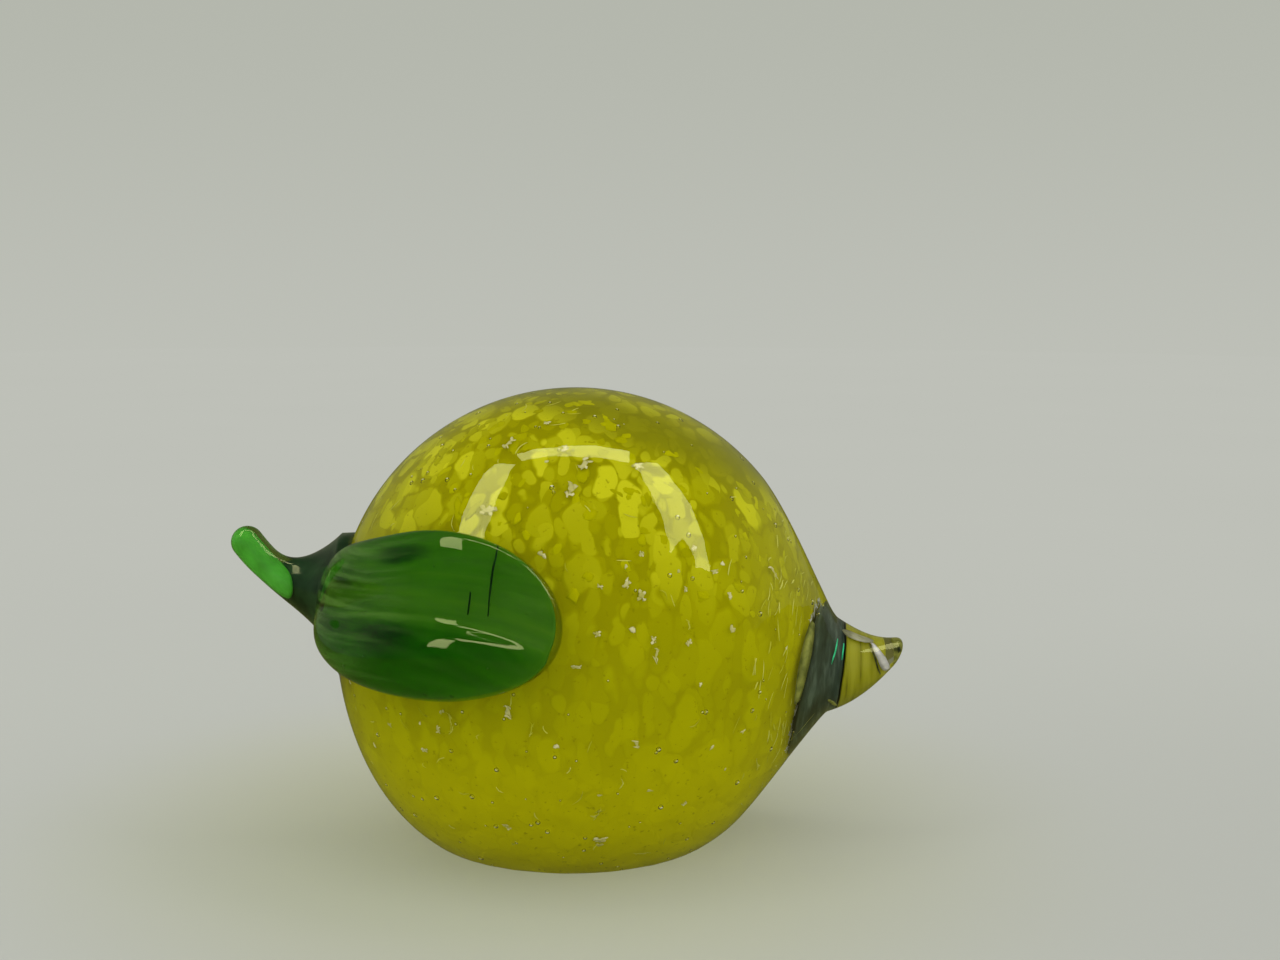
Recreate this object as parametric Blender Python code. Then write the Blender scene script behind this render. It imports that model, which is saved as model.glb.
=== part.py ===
"""Solid glass lemon paperweight.

A clear core is wrapped in a thin layer of yellow glass chips and cased in clear glass, whose blossom
end is drawn out into a nub. A green stem with a flared foot closes the neck at the other end, and a thick
green leaf is pressed on the front. The lemon lies along X, nub towards +X, leaf towards -Y, on a flat base
at Z = 0. Lengths are in metres and angles in radians.
"""

from math import asin, cos, pi, radians, sin, sqrt, tan

import bmesh
import bpy
from mathutils import Matrix, Vector

# Clearance between neighbouring pieces
GAP = 0.0003

# Round body: its layers from the outside in, and how the soft glass settled on its base
BODY_RADIUS = 0.0406
CASING_THICKNESS = 0.0064
FRIT_THICKNESS = 0.0015
BASE_GLASS = 0.0010
SETTLE_POWER = 1.9
SETTLE_ROOT = 2.9
BASE_LEAN = 0.0006
AXIS_TILT = radians(9.1)

# Neck at the stem end, where every layer narrows to where the lemon was held while it was made
NECK_RADIUS = 0.0080
NECK_FILLET = 0.0025
NECK_FILLET_LIMIT = 0.8
FILLET_FULLNESS = 0.6

# The yellow layer stops short of the nub in a ring
FRIT_RING_RADIUS = 0.0068

# Blossom nub, drawn out of the casing
SHOULDER_ANGLE = radians(48.6)
NUB_LENGTH = 0.0162
NUB_TAPER_LENGTH = 0.0125
NUB_TAPER_ANGLE = radians(26.8)
NUB_TIP_RADIUS = 0.00285
NUB_LIFT = 0.0050
SHOULDER_PULL = 0.30
WAIST_PULL = 0.08

# Stem: a flared foot over the neck, and a thin rod that bends up
STEM_DIRECTION = radians(4.9)
FOOT_RADIUS = 0.0126
FOOT_FLARE = 0.0159
FOOT_FLARE_POWER = 2.2
FOOT_TILT = radians(-4.5)
ROD_RADIUS = 0.00273
STEM_REACH = 0.0160
STEM_RISE = 0.0111
STEM_TILT = radians(53.4)
STEM_LEAVING = radians(33.7)
LEAVING_PULL = 0.47
ARRIVING_PULL = 0.50
STEM_BURIED = 0.0070

# Leaf: its middle line runs round the front of the body, at angles seen from the body's centre
LEAF_ROOT_AZIMUTH = radians(-86.7)
LEAF_ROOT_ELEVATION = radians(8.4)
LEAF_TIP_ELEVATION = radians(6.5)
LEAF_BOW = radians(5.3)
LEAF_BOW_POWER = 1.9
LEAF_LENGTH = 0.0587
LEAF_HALF_WIDTH = 0.0125
LEAF_WIDENING = 0.31
LEAF_SHOULDER = 0.60
LEAF_THICKNESS = 0.0060
LEAF_EDGE_POWER = 4.8
LEAF_BURIED = 0.0030
GROOVE_DEPTH = 0.0042
GROOVE_UPPER_BANK = 0.0046
GROOVE_LOWER_BANK = 0.0017
GROOVE_OFFSET = 0.0016
GROOVE_END_POWER = 12.0

# Mesh resolution
BODY_SEGMENTS = 40
OUTER_STEPS = 20
INNER_STEPS = 14
FLANK_STEPS = 9
STEM_SIDES = 24
STEM_STEPS = 12
CAP_STEPS = 4
LEAF_SEGMENTS = 40
LEAF_RINGS = 22

# Sizes that follow from the ones above
CAVITY_RADIUS = BODY_RADIUS - CASING_THICKNESS
FRIT_OUTER_RADIUS = CAVITY_RADIUS - GAP
FRIT_INNER_RADIUS = FRIT_OUTER_RADIUS - FRIT_THICKNESS
CORE_RADIUS = FRIT_INNER_RADIUS - GAP
FRIT_OUTER_NECK = NECK_RADIUS - GAP
FRIT_INNER_NECK = FRIT_OUTER_NECK - FRIT_THICKNESS
CORE_NECK = FRIT_INNER_NECK - GAP
CENTRE_HEIGHT = CAVITY_RADIUS + BASE_GLASS
RING_ANGLE = asin(FRIT_RING_RADIUS / FRIT_OUTER_RADIUS)
RING_CLEARANCE = GAP / FRIT_OUTER_RADIUS
NUB_REACH = BODY_RADIUS + NUB_LENGTH
LIFT_START = NUB_REACH - NUB_TAPER_LENGTH

# Small numbers that the modelling steps need
MERGE_DISTANCE = 0.000001
SHARP_ANGLE = radians(40.0)
SLOPE_STEP = 0.01

GLASS_COLOURS = {
    "clear_glass": (0.86, 0.90, 0.84, 0.30),
    "yellow_frit": (0.62, 0.56, 0.01, 1.00),
    "core_glass": (0.80, 0.86, 0.78, 0.30),
    "stem_green": (0.05, 0.36, 0.04, 0.80),
    "leaf_green": (0.03, 0.20, 0.01, 0.90),
}


def clear_scene():
    """Removes every object, so that the model starts from an empty scene."""
    for item in list(bpy.data.objects):
        bpy.data.objects.remove(item, do_unlink=True)


def make_glass(name):
    """Returns a glossy glass material in the colour listed under its name."""
    material = bpy.data.materials.new(name)
    material.use_nodes = True
    shader = material.node_tree.nodes["Principled BSDF"]
    red, green, blue, alpha = GLASS_COLOURS[name]
    shader.inputs["Base Color"].default_value = (red, green, blue, 1.0)
    shader.inputs["Roughness"].default_value = 0.05
    shader.inputs["Metallic"].default_value = 0.0
    shader.inputs["Alpha"].default_value = alpha
    material.diffuse_color = (red, green, blue, alpha)
    return material


def blend(start, end, share):
    """Returns the value that lies the given share of the way from start to end."""
    return start + (end - start) * share


def arc(radius, start, end, steps):
    """Returns points (along, out) on a circle round the body's centre; angle 0 is the nub's end."""
    angles = [blend(start, end, step / steps) for step in range(steps + 1)]
    return [Vector((radius * cos(angle), radius * sin(angle))) for angle in angles]


def bezier(start, start_control, end_control, end, steps):
    """Returns points on a cubic curve."""
    points = []
    for step in range(steps + 1):
        share = step / steps
        rest = 1.0 - share
        points.append(
            start * rest**3
            + start_control * 3.0 * rest**2 * share
            + end_control * 3.0 * rest * share**2
            + end * share**3
        )
    return points


def nub_profile():
    """Returns the outer profile from the shoulder to the nub's tip."""
    tip_centre = NUB_REACH - NUB_TIP_RADIUS
    tip_start = pi / 2.0 - NUB_TAPER_ANGLE
    tip = [point + Vector((tip_centre, 0.0)) for point in arc(NUB_TIP_RADIUS, tip_start, 0.0, CAP_STEPS)]
    touch = tip[0]
    waist_along = NUB_REACH - NUB_TAPER_LENGTH
    waist = Vector((waist_along, touch.y + (touch.x - waist_along) * tan(NUB_TAPER_ANGLE)))
    shoulder = Vector((BODY_RADIUS * cos(SHOULDER_ANGLE), BODY_RADIUS * sin(SHOULDER_ANGLE)))
    span = (waist - shoulder).length
    leaving = Vector((sin(SHOULDER_ANGLE), -cos(SHOULDER_ANGLE))) * span * SHOULDER_PULL
    arriving = Vector((cos(NUB_TAPER_ANGLE), -sin(NUB_TAPER_ANGLE))) * span * WAIST_PULL
    flank = bezier(shoulder, shoulder + leaving, waist - arriving, waist, FLANK_STEPS)
    taper = [blend(waist, touch, step / CAP_STEPS) for step in range(1, CAP_STEPS)]
    return flank + taper + tip


def outer_profile(start_angle):
    """Returns the lemon's outer profile from an angle near the stem end to the nub's tip."""
    return arc(BODY_RADIUS, start_angle, SHOULDER_ANGLE, OUTER_STEPS)[:-1] + nub_profile()


def neck_angle(neck_radius):
    """Returns the angle at which a neck of this radius meets the lemon's outside."""
    return pi - asin(neck_radius / BODY_RADIUS)


def layer_profile(radius, neck_radius, first_angle):
    """Returns a layer's profile from an angle near the nub, round the body and along the neck."""
    fillet_radius = neck_radius + NECK_FILLET
    fillet_angle = pi - asin(fillet_radius / radius)
    round_part = arc(radius, first_angle, fillet_angle, INNER_STEPS)
    corner = Vector((-sqrt(radius**2 - neck_radius**2), neck_radius))
    end = Vector((-sqrt(BODY_RADIUS**2 - neck_radius**2), neck_radius))
    fillet_along = max(corner.x - NECK_FILLET, blend(corner.x, end.x, NECK_FILLET_LIMIT))
    fillet_end = Vector((fillet_along, neck_radius))
    control_one = blend(round_part[-1], corner, FILLET_FULLNESS)
    control_two = blend(fillet_end, corner, FILLET_FULLNESS)
    fillet = bezier(round_part[-1], control_one, control_two, fillet_end, CAP_STEPS)
    return round_part[:-1] + fillet + [end]


def spin_profile(points, closed):
    """Returns a mesh turned about the lemon's long axis; a closed profile makes a ring."""
    mesh = bmesh.new()
    verts = [mesh.verts.new((point.x, 0.0, point.y)) for point in points]
    pairs = list(zip(verts, verts[1:]))
    if closed:
        pairs.append((verts[-1], verts[0]))
    edges = [mesh.edges.new(pair) for pair in pairs]
    bmesh.ops.spin(
        mesh,
        geom=verts + edges,
        cent=(0.0, 0.0, 0.0),
        axis=(1.0, 0.0, 0.0),
        angle=2.0 * pi,
        steps=BODY_SEGMENTS,
        use_merge=True,
    )
    bmesh.ops.remove_doubles(mesh, verts=mesh.verts, dist=MERGE_DISTANCE)
    bmesh.ops.recalc_face_normals(mesh, faces=mesh.faces)
    return mesh


def settle(point):
    """Moves a point as the soft glass did: wider low down, and leaning a little towards the stem."""
    drop = min(max(CENTRE_HEIGHT - point.z, 0.0), CENTRE_HEIGHT)
    depth = drop / BODY_RADIUS
    widening = (1.0 - depth**SETTLE_POWER) ** (1.0 / SETTLE_ROOT) / sqrt(1.0 - depth**2)
    lean = BASE_LEAN * (drop / CENTRE_HEIGHT) ** 2
    return Vector((point.x * widening - lean, point.y * widening, point.z))


def settle_mesh(mesh):
    """Raises a mesh from round the body's centre to its height over the base, and settles it."""
    for vert in mesh.verts:
        vert.co = settle(vert.co + Vector((0.0, 0.0, CENTRE_HEIGHT)))


def lay_down(mesh):
    """Tilts a turned layer nub down, lifts the nub's tip, and settles it on the base."""
    tilt = Matrix.Rotation(AXIS_TILT, 4, "Y")
    for vert in mesh.verts:
        bend = max(0.0, (vert.co.x - LIFT_START) / (NUB_REACH - LIFT_START))
        vert.co = tilt @ vert.co
        vert.co.z += NUB_LIFT * bend**2
    settle_mesh(mesh)


def cut_base(mesh):
    """Cuts a mesh flat at the base plane and closes the cut."""
    cut = bmesh.ops.bisect_plane(
        mesh,
        geom=mesh.verts[:] + mesh.edges[:] + mesh.faces[:],
        dist=MERGE_DISTANCE,
        plane_co=(0.0, 0.0, 0.0),
        plane_no=(0.0, 0.0, -1.0),
        clear_outer=True,
    )
    rim = [item for item in cut["geom_cut"] if isinstance(item, bmesh.types.BMEdge)]
    bmesh.ops.edgeloop_fill(mesh, edges=rim)
    bmesh.ops.recalc_face_normals(mesh, faces=mesh.faces)


def swell(mesh, distance):
    """Moves every vertex outwards by a distance."""
    mesh.normal_update()
    shifts = [vert.normal * distance for vert in mesh.verts]
    for vert, shift in zip(mesh.verts, shifts):
        vert.co += shift


def add_piece(name, mesh, parent):
    """Makes an object from a mesh, shades it smooth and parents it."""
    data = bpy.data.meshes.new(name)
    mesh.to_mesh(data)
    mesh.free()
    data.shade_smooth()
    data.set_sharp_from_angle(angle=SHARP_ANGLE)
    item = bpy.data.objects.new(name, data)
    bpy.context.scene.collection.objects.link(item)
    item.parent = parent
    return item


def add_cutter(name, mesh, parent):
    """Makes an object that only cuts others."""
    item = add_piece(name, mesh, parent)
    item.display_type = "WIRE"
    item.hide_render = True
    return item


def cut_away(item, cutter):
    """Cuts the cutter's shape out of an object."""
    modifier = item.modifiers.new("cut_" + cutter.name, "BOOLEAN")
    modifier.operation = "DIFFERENCE"
    modifier.solver = "EXACT"
    modifier.object = cutter


def casing_mesh():
    """Returns the clear outer gather: hollow for the layers inside, open at the neck, with the nub."""
    nub_side = arc(CORE_RADIUS + GAP, 0.0, RING_ANGLE - RING_CLEARANCE, CAP_STEPS)
    cavity = layer_profile(CAVITY_RADIUS, NECK_RADIUS, RING_ANGLE - RING_CLEARANCE)
    mesh = spin_profile(nub_side + cavity + outer_profile(neck_angle(NECK_RADIUS))[1:], closed=False)
    lay_down(mesh)
    cut_base(mesh)
    return mesh


def frit_mesh():
    """Returns the thin yellow layer, open at the nub end and narrowed to a tube at the neck."""
    outside = layer_profile(FRIT_OUTER_RADIUS, FRIT_OUTER_NECK, RING_ANGLE)
    inside = layer_profile(FRIT_INNER_RADIUS, FRIT_INNER_NECK, RING_ANGLE)
    mesh = spin_profile(outside + inside[::-1], closed=True)
    lay_down(mesh)
    return mesh


def core_mesh():
    """Returns the solid clear core with its neck, which ends level with the lemon's outside."""
    surface = layer_profile(CORE_RADIUS, CORE_NECK, 0.0)
    end_cap = arc(BODY_RADIUS, neck_angle(CORE_NECK), pi, CAP_STEPS)[1:]
    mesh = spin_profile(surface + end_cap, closed=False)
    lay_down(mesh)
    return mesh


def skin_mesh():
    """Returns the lemon's whole outside, one clearance larger, to cut what is pressed on it."""
    mesh = spin_profile(outer_profile(pi), closed=False)
    lay_down(mesh)
    swell(mesh, GAP)
    return mesh


def stem_radius(travel):
    """Returns the stem's radius at a distance from the foot."""
    flare = max(0.0, 1.0 - max(0.0, travel) / FOOT_FLARE) ** FOOT_FLARE_POWER
    return blend(ROD_RADIUS, FOOT_RADIUS, flare)


def stem_stations():
    """Returns the stem's rings as (centre, tilt, radius) from inside the body outwards, and its end."""
    outward = Vector((-cos(STEM_DIRECTION), 0.0, sin(STEM_DIRECTION)))
    rim_distance = sqrt(BODY_RADIUS**2 - FOOT_RADIUS**2)
    foot = outward * (rim_distance + BODY_RADIUS) / 2.0
    tip = foot + Vector((-STEM_REACH, 0.0, STEM_RISE))
    run = (tip - foot).length
    leaving = Vector((-cos(STEM_LEAVING), 0.0, sin(STEM_LEAVING))) * run * LEAVING_PULL
    arriving = Vector((-cos(STEM_TILT), 0.0, sin(STEM_TILT))) * run * ARRIVING_PULL
    centres = bezier(foot, foot + leaving, tip - arriving, tip, STEM_STEPS)
    stations = [(foot - outward * STEM_BURIED, FOOT_TILT, FOOT_RADIUS)]
    travel = 0.0
    for index, centre in enumerate(centres):
        if index:
            travel += (centre - centres[index - 1]).length
        tilt = blend(FOOT_TILT, STEM_TILT, (index / STEM_STEPS) ** 2)
        stations.append((centre, tilt, stem_radius(travel)))
    forward = Vector((-cos(STEM_TILT), 0.0, sin(STEM_TILT)))
    for step in range(1, CAP_STEPS):
        angle = step / CAP_STEPS * pi / 2.0
        stations.append((tip + forward * ROD_RADIUS * sin(angle), STEM_TILT, ROD_RADIUS * cos(angle)))
    return stations, tip + forward * ROD_RADIUS


def stem_mesh():
    """Returns the stem as rings bridged from its foot to its tip, not yet cut by the body."""
    mesh = bmesh.new()
    stations, apex = stem_stations()
    rings = []
    for centre, tilt, radius in stations:
        turn = Matrix.Rotation(-pi / 2.0 + tilt, 4, "Y")
        place = Matrix.Translation(centre) @ turn
        ring = bmesh.ops.create_circle(
            mesh, cap_ends=False, radius=radius, segments=STEM_SIDES, matrix=place
        )
        rings.append(ring["verts"])
    for ring, following in zip(rings, rings[1:]):
        for index in range(STEM_SIDES):
            after = (index + 1) % STEM_SIDES
            mesh.faces.new((ring[index], ring[after], following[after], following[index]))
    mesh.faces.new(rings[0][::-1])
    point = mesh.verts.new(apex)
    last = rings[-1]
    for index in range(STEM_SIDES):
        mesh.faces.new((last[index], last[(index + 1) % STEM_SIDES], point))
    bmesh.ops.recalc_face_normals(mesh, faces=mesh.faces)
    settle_mesh(mesh)
    return mesh


def leaf_direction(along):
    """Returns the direction from the body's centre to the leaf's middle line, along from 0 to 1."""
    azimuth = LEAF_ROOT_AZIMUTH + along * LEAF_LENGTH / BODY_RADIUS
    bow = LEAF_BOW * sin(pi * max(0.0, along) ** LEAF_BOW_POWER)
    elevation = blend(LEAF_ROOT_ELEVATION, LEAF_TIP_ELEVATION, along) + bow
    return Vector((sin(azimuth) * cos(elevation), -cos(azimuth) * cos(elevation), sin(elevation)))


def leaf_across(x, y):
    """Returns the distance across the leaf from its middle line, for a point within a unit disc."""
    across = y * LEAF_HALF_WIDTH * (1.0 + LEAF_WIDENING * x)
    if x < 0.0 < y:
        across *= 1.0 + LEAF_SHOULDER * x**2
    return across


def leaf_height(x, y, across):
    """Returns the leaf's height over the body, for x along and y across within a unit disc."""
    spread = sqrt(x**2 + y**2)
    dome = sqrt(max(0.0, 1.0 - spread**LEAF_EDGE_POWER))
    from_groove = across + GROOVE_OFFSET
    bank = GROOVE_UPPER_BANK if from_groove > 0.0 else GROOVE_LOWER_BANK
    run_out = 1.0 - spread**GROOVE_END_POWER
    if x < 0.0:
        run_out *= 1.0 - x**2
    groove = GROOVE_DEPTH * 2.0 ** (-((from_groove / bank) ** 2)) * run_out
    return LEAF_THICKNESS * dome - groove


def leaf_point(unit):
    """Returns the place on the leaf of a point of a unit sphere; the sphere's lower half is buried."""
    along = 0.5 * (1.0 + unit.x)
    across = leaf_across(unit.x, unit.y)
    outward = leaf_direction(along)
    forward = (leaf_direction(along + SLOPE_STEP) - leaf_direction(along - SLOPE_STEP)).normalized()
    side = outward.cross(forward).normalized()
    height = leaf_height(unit.x, unit.y, across) if unit.z > 0.0 else LEAF_BURIED * unit.z
    turn = across / BODY_RADIUS
    return (outward * cos(turn) + side * sin(turn)) * (BODY_RADIUS + height)


def leaf_mesh():
    """Returns the leaf as a ball pressed into a thick, grooved pad, not yet cut by the body."""
    mesh = bmesh.new()
    bmesh.ops.create_uvsphere(mesh, u_segments=LEAF_SEGMENTS, v_segments=LEAF_RINGS, radius=1.0)
    for vert in mesh.verts:
        vert.co = leaf_point(vert.co)
    bmesh.ops.recalc_face_normals(mesh, faces=mesh.faces)
    settle_mesh(mesh)
    return mesh


def build():
    """Builds the whole lemon."""
    clear_scene()
    lemon = bpy.data.objects.new("glass_lemon", None)
    bpy.context.scene.collection.objects.link(lemon)

    casing = add_piece("clear_casing", casing_mesh(), lemon)
    frit = add_piece("frit_layer", frit_mesh(), lemon)
    core = add_piece("core_gather", core_mesh(), lemon)
    stem = add_piece("stem", stem_mesh(), lemon)
    leaf = add_piece("leaf", leaf_mesh(), lemon)

    skin_cutter = add_cutter("skin_cutter", skin_mesh(), lemon)
    swollen_stem = stem_mesh()
    swell(swollen_stem, GAP)
    stem_cutter = add_cutter("stem_cutter", swollen_stem, lemon)
    cut_away(stem, skin_cutter)
    cut_away(leaf, skin_cutter)
    cut_away(leaf, stem_cutter)

    for item, slot in zip((casing, frit, core, stem, leaf), GLASS_COLOURS):
        item.data.materials.append(make_glass(slot))


build()
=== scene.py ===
"""Looks of the solid glass lemon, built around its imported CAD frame.

The lemon is one clear glass body with a thin layer of yellow glass chips inside it, seed bubbles and silvery
flecks near that layer, a green glass stem with a flared foot, and a thick green glass leaf on its front.
Lengths are in metres and angles in radians. The lemon lies along X, nub towards +X, leaf towards -Y.
"""

import logging
from collections.abc import Callable, Iterable
from dataclasses import dataclass
from enum import Enum
from math import asin, atan2, cos, exp, pi, radians, sin, sqrt, tan
from random import Random

import bmesh
import bpy
from mathutils import Matrix, Vector, noise


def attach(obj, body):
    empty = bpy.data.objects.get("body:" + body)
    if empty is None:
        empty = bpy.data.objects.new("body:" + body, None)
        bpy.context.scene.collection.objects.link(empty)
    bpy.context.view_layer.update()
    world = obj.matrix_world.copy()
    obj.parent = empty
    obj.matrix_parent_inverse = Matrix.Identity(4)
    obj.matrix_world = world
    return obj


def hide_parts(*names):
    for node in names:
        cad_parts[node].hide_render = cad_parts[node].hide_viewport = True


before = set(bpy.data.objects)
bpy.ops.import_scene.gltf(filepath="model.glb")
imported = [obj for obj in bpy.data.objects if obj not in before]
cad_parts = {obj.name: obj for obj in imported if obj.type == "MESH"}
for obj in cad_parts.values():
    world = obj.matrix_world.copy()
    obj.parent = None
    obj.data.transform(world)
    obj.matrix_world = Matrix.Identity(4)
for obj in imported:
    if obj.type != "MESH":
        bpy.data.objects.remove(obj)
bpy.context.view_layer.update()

Span = tuple[float, float]
Triple = tuple[float, float, float]
Colour = Triple
Mesh = bmesh.types.BMesh
Socket = bpy.types.NodeSocket
Material = bpy.types.Material

LOG = logging.getLogger("glass_lemon")
PHOTO_WIDTH = 1280
PHOTO_HEIGHT = 960
MERGE_DISTANCE = 0.000001
MILLIMETRE = 0.001
GLASS_IOR = 1.5
WHITE = (1.0, 1.0, 1.0)
NUB_WAY = Vector((1.0, 0.0, 0.0))
UP = Vector((0.0, 0.0, 1.0))

# The side of the yellow layer that is left without chips and darkened with painted shade
PAINTED_SHADE_SIDE = Vector((0.36, 0.20, 0.91))

# The view that the photo was taken from: how far off and how far above the lemon's middle
VIEW_DISTANCE = 0.3087
VIEW_ELEVATION = radians(12.0)
VIEW_BACK = Vector((0.0, -cos(VIEW_ELEVATION), sin(VIEW_ELEVATION)))
VIEW_UP = Vector((0.0, sin(VIEW_ELEVATION), cos(VIEW_ELEVATION)))


class Slot(Enum):
    """Names of the material slots."""

    CLEAR = "clear_glass"
    FRIT = "yellow_frit"
    CORE = "core_glass"
    STEM = "stem_green"
    LEAF = "leaf_green"


def blend(start: float, end: float, share: float) -> float:
    """Returns the value (number or vector) that lies the given share of the way from start to end."""
    return start + (end - start) * share


def soft_step(low: float, high: float, value: float) -> float:
    """Returns 0 below low, 1 above high, and a smooth rise between them."""
    share = min(max((value - low) / (high - low), 0.0), 1.0)
    return share * share * (3.0 - 2.0 * share)


def scaled(colour: Colour, share: float) -> Colour:
    """Returns a colour times a share."""
    return tuple(share * value for value in colour)


def bearing(angle: float) -> Vector:
    """Returns the two-dimensional direction at an angle."""
    return Vector((cos(angle), sin(angle)))


def stemward(elevation: float) -> Vector:
    """Returns the direction towards the stem's end at an elevation."""
    return Vector((-cos(elevation), 0.0, sin(elevation)))


def off_axis(angle: float, turn: float) -> Vector:
    """Returns the direction at an angle from the nub's axis, at a turn round it."""
    return Vector((cos(angle), 0.0, 0.0)) + Vector((0.0, cos(turn), sin(turn))) * sin(angle)


def any_direction(dice: Random) -> Vector:
    """Returns a random direction."""
    return Vector((dice.gauss(0.0, 1.0), dice.gauss(0.0, 1.0), dice.gauss(0.0, 1.0))).normalized()


def rise_at(spot: Vector) -> Vector:
    """Returns the way up over a round surface, at a direction from its centre."""
    return (UP - spot * spot.z).normalized()


def way_at(spot: Vector, heading: float) -> Vector:
    """Returns the way over a round surface at a heading, which is 0 straight up."""
    rise = rise_at(spot)
    return rise * cos(heading) + rise.cross(spot) * sin(heading)


def ring_heading(spot: Vector) -> float:
    """Returns the heading that runs round the nub's axis.

    Args:
        spot: a direction from the body's centre.

    Returns:
        The heading, 0 straight up.
    """
    round_axis = NUB_WAY.cross(spot).normalized()
    rise = rise_at(spot)
    return atan2(round_axis.dot(rise.cross(spot)), round_axis.dot(rise))


def arc(radius: float, start: float, end: float, steps: int) -> list[Vector]:
    """Returns points (along, out) on a circle round the body's centre.

    Args:
        radius: the circle's radius.
        start: the first point's angle; 0 is the nub's end.
        end: the last point's angle.
        steps: how many equal steps there are between them.

    Returns:
        The points, as two-dimensional vectors.
    """
    angles = [blend(start, end, step / steps) for step in range(steps + 1)]
    return [Vector((radius * cos(angle), radius * sin(angle))) for angle in angles]


def bezier(start: Vector, leaving: Vector, arriving: Vector, end: Vector, steps: int) -> list[Vector]:
    """Returns points on a cubic curve.

    Args:
        start: the first point.
        leaving: the control point after it.
        arriving: the control point before the last point.
        end: the last point.
        steps: how many steps there are along the curve.

    Returns:
        The points, with both ends.
    """
    points = []
    for step in range(steps + 1):
        share = step / steps
        rest = 1.0 - share
        ends = start * rest**3 + leaving * 3.0 * rest**2 * share
        points.append(ends + arriving * 3.0 * rest * share**2 + end * share**3)
    return points


def face_outwards(mesh: Mesh) -> Mesh:
    """Turns the faces of a closed mesh outwards.

    Args:
        mesh: the mesh, which is changed.

    Returns:
        The same mesh.
    """
    bmesh.ops.recalc_face_normals(mesh, faces=mesh.faces)
    if mesh.calc_volume(signed=True) < 0.0:
        bmesh.ops.reverse_faces(mesh, faces=mesh.faces)
    return mesh


def moved(mesh: Mesh, move: Callable[[Vector], Vector]) -> Mesh:
    """Moves each point of a mesh.

    Args:
        mesh: the mesh, which is changed.
        move: gives a point's new place.

    Returns:
        The same mesh.
    """
    for vert in mesh.verts:
        vert.co = move(vert.co)
    return mesh


def loft(loops: list[list[Vector]]) -> Mesh:
    """Returns a closed mesh that runs through loops of the same number of points.

    Args:
        loops: the loops, in order along the run.

    Returns:
        The mesh, capped at both ends, with its faces outwards.
    """
    mesh = bmesh.new()
    rings = []
    for loop in loops:
        verts = [mesh.verts.new(point) for point in loop]
        rings.append([mesh.edges.new((verts[index - 1], verts[index])) for index in range(len(verts))])
    for ring, following in zip(rings, rings[1:]):
        bmesh.ops.bridge_loops(mesh, edges=ring + following)
    for ring in (rings[0], rings[-1]):
        bmesh.ops.contextual_create(mesh, geom=ring)
    return face_outwards(mesh)


def dress(name: str, mesh: Mesh, material: Material) -> bpy.types.Object:
    """Makes a smooth shaded object from a mesh.

    Args:
        name: the piece's name.
        mesh: the mesh, which is freed.
        material: its finish.

    Returns:
        The new object, at the origin.
    """
    data = bpy.data.meshes.new(name)
    mesh.to_mesh(data)
    mesh.free()
    data.shade_smooth()
    data.materials.append(material)
    item = bpy.data.objects.new(name, data)
    bpy.context.scene.collection.objects.link(item)
    return item


def fit_piece(name: str, mesh: Mesh, material: Material, slot: Slot, *nodes: str) -> bpy.types.Object:
    """Makes a piece, ties it to the frame and reports it.

    Args:
        name: the piece's name.
        mesh: the mesh, which is freed.
        material: its finish.
        slot: a material slot's name, which is only logged.
        nodes: the CAD nodes that it stands for, if any.

    Returns:
        The new object.
    """
    item = dress(name, mesh, material)
    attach(item, "root")
    if nodes:
        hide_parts(*nodes)
    triangles = sum(len(face.vertices) - 2 for face in item.data.polygons)
    LOG.info("%s: %d triangles, slot %s, stands for %s", name, triangles, slot.value, nodes or "no node")
    return item


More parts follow.
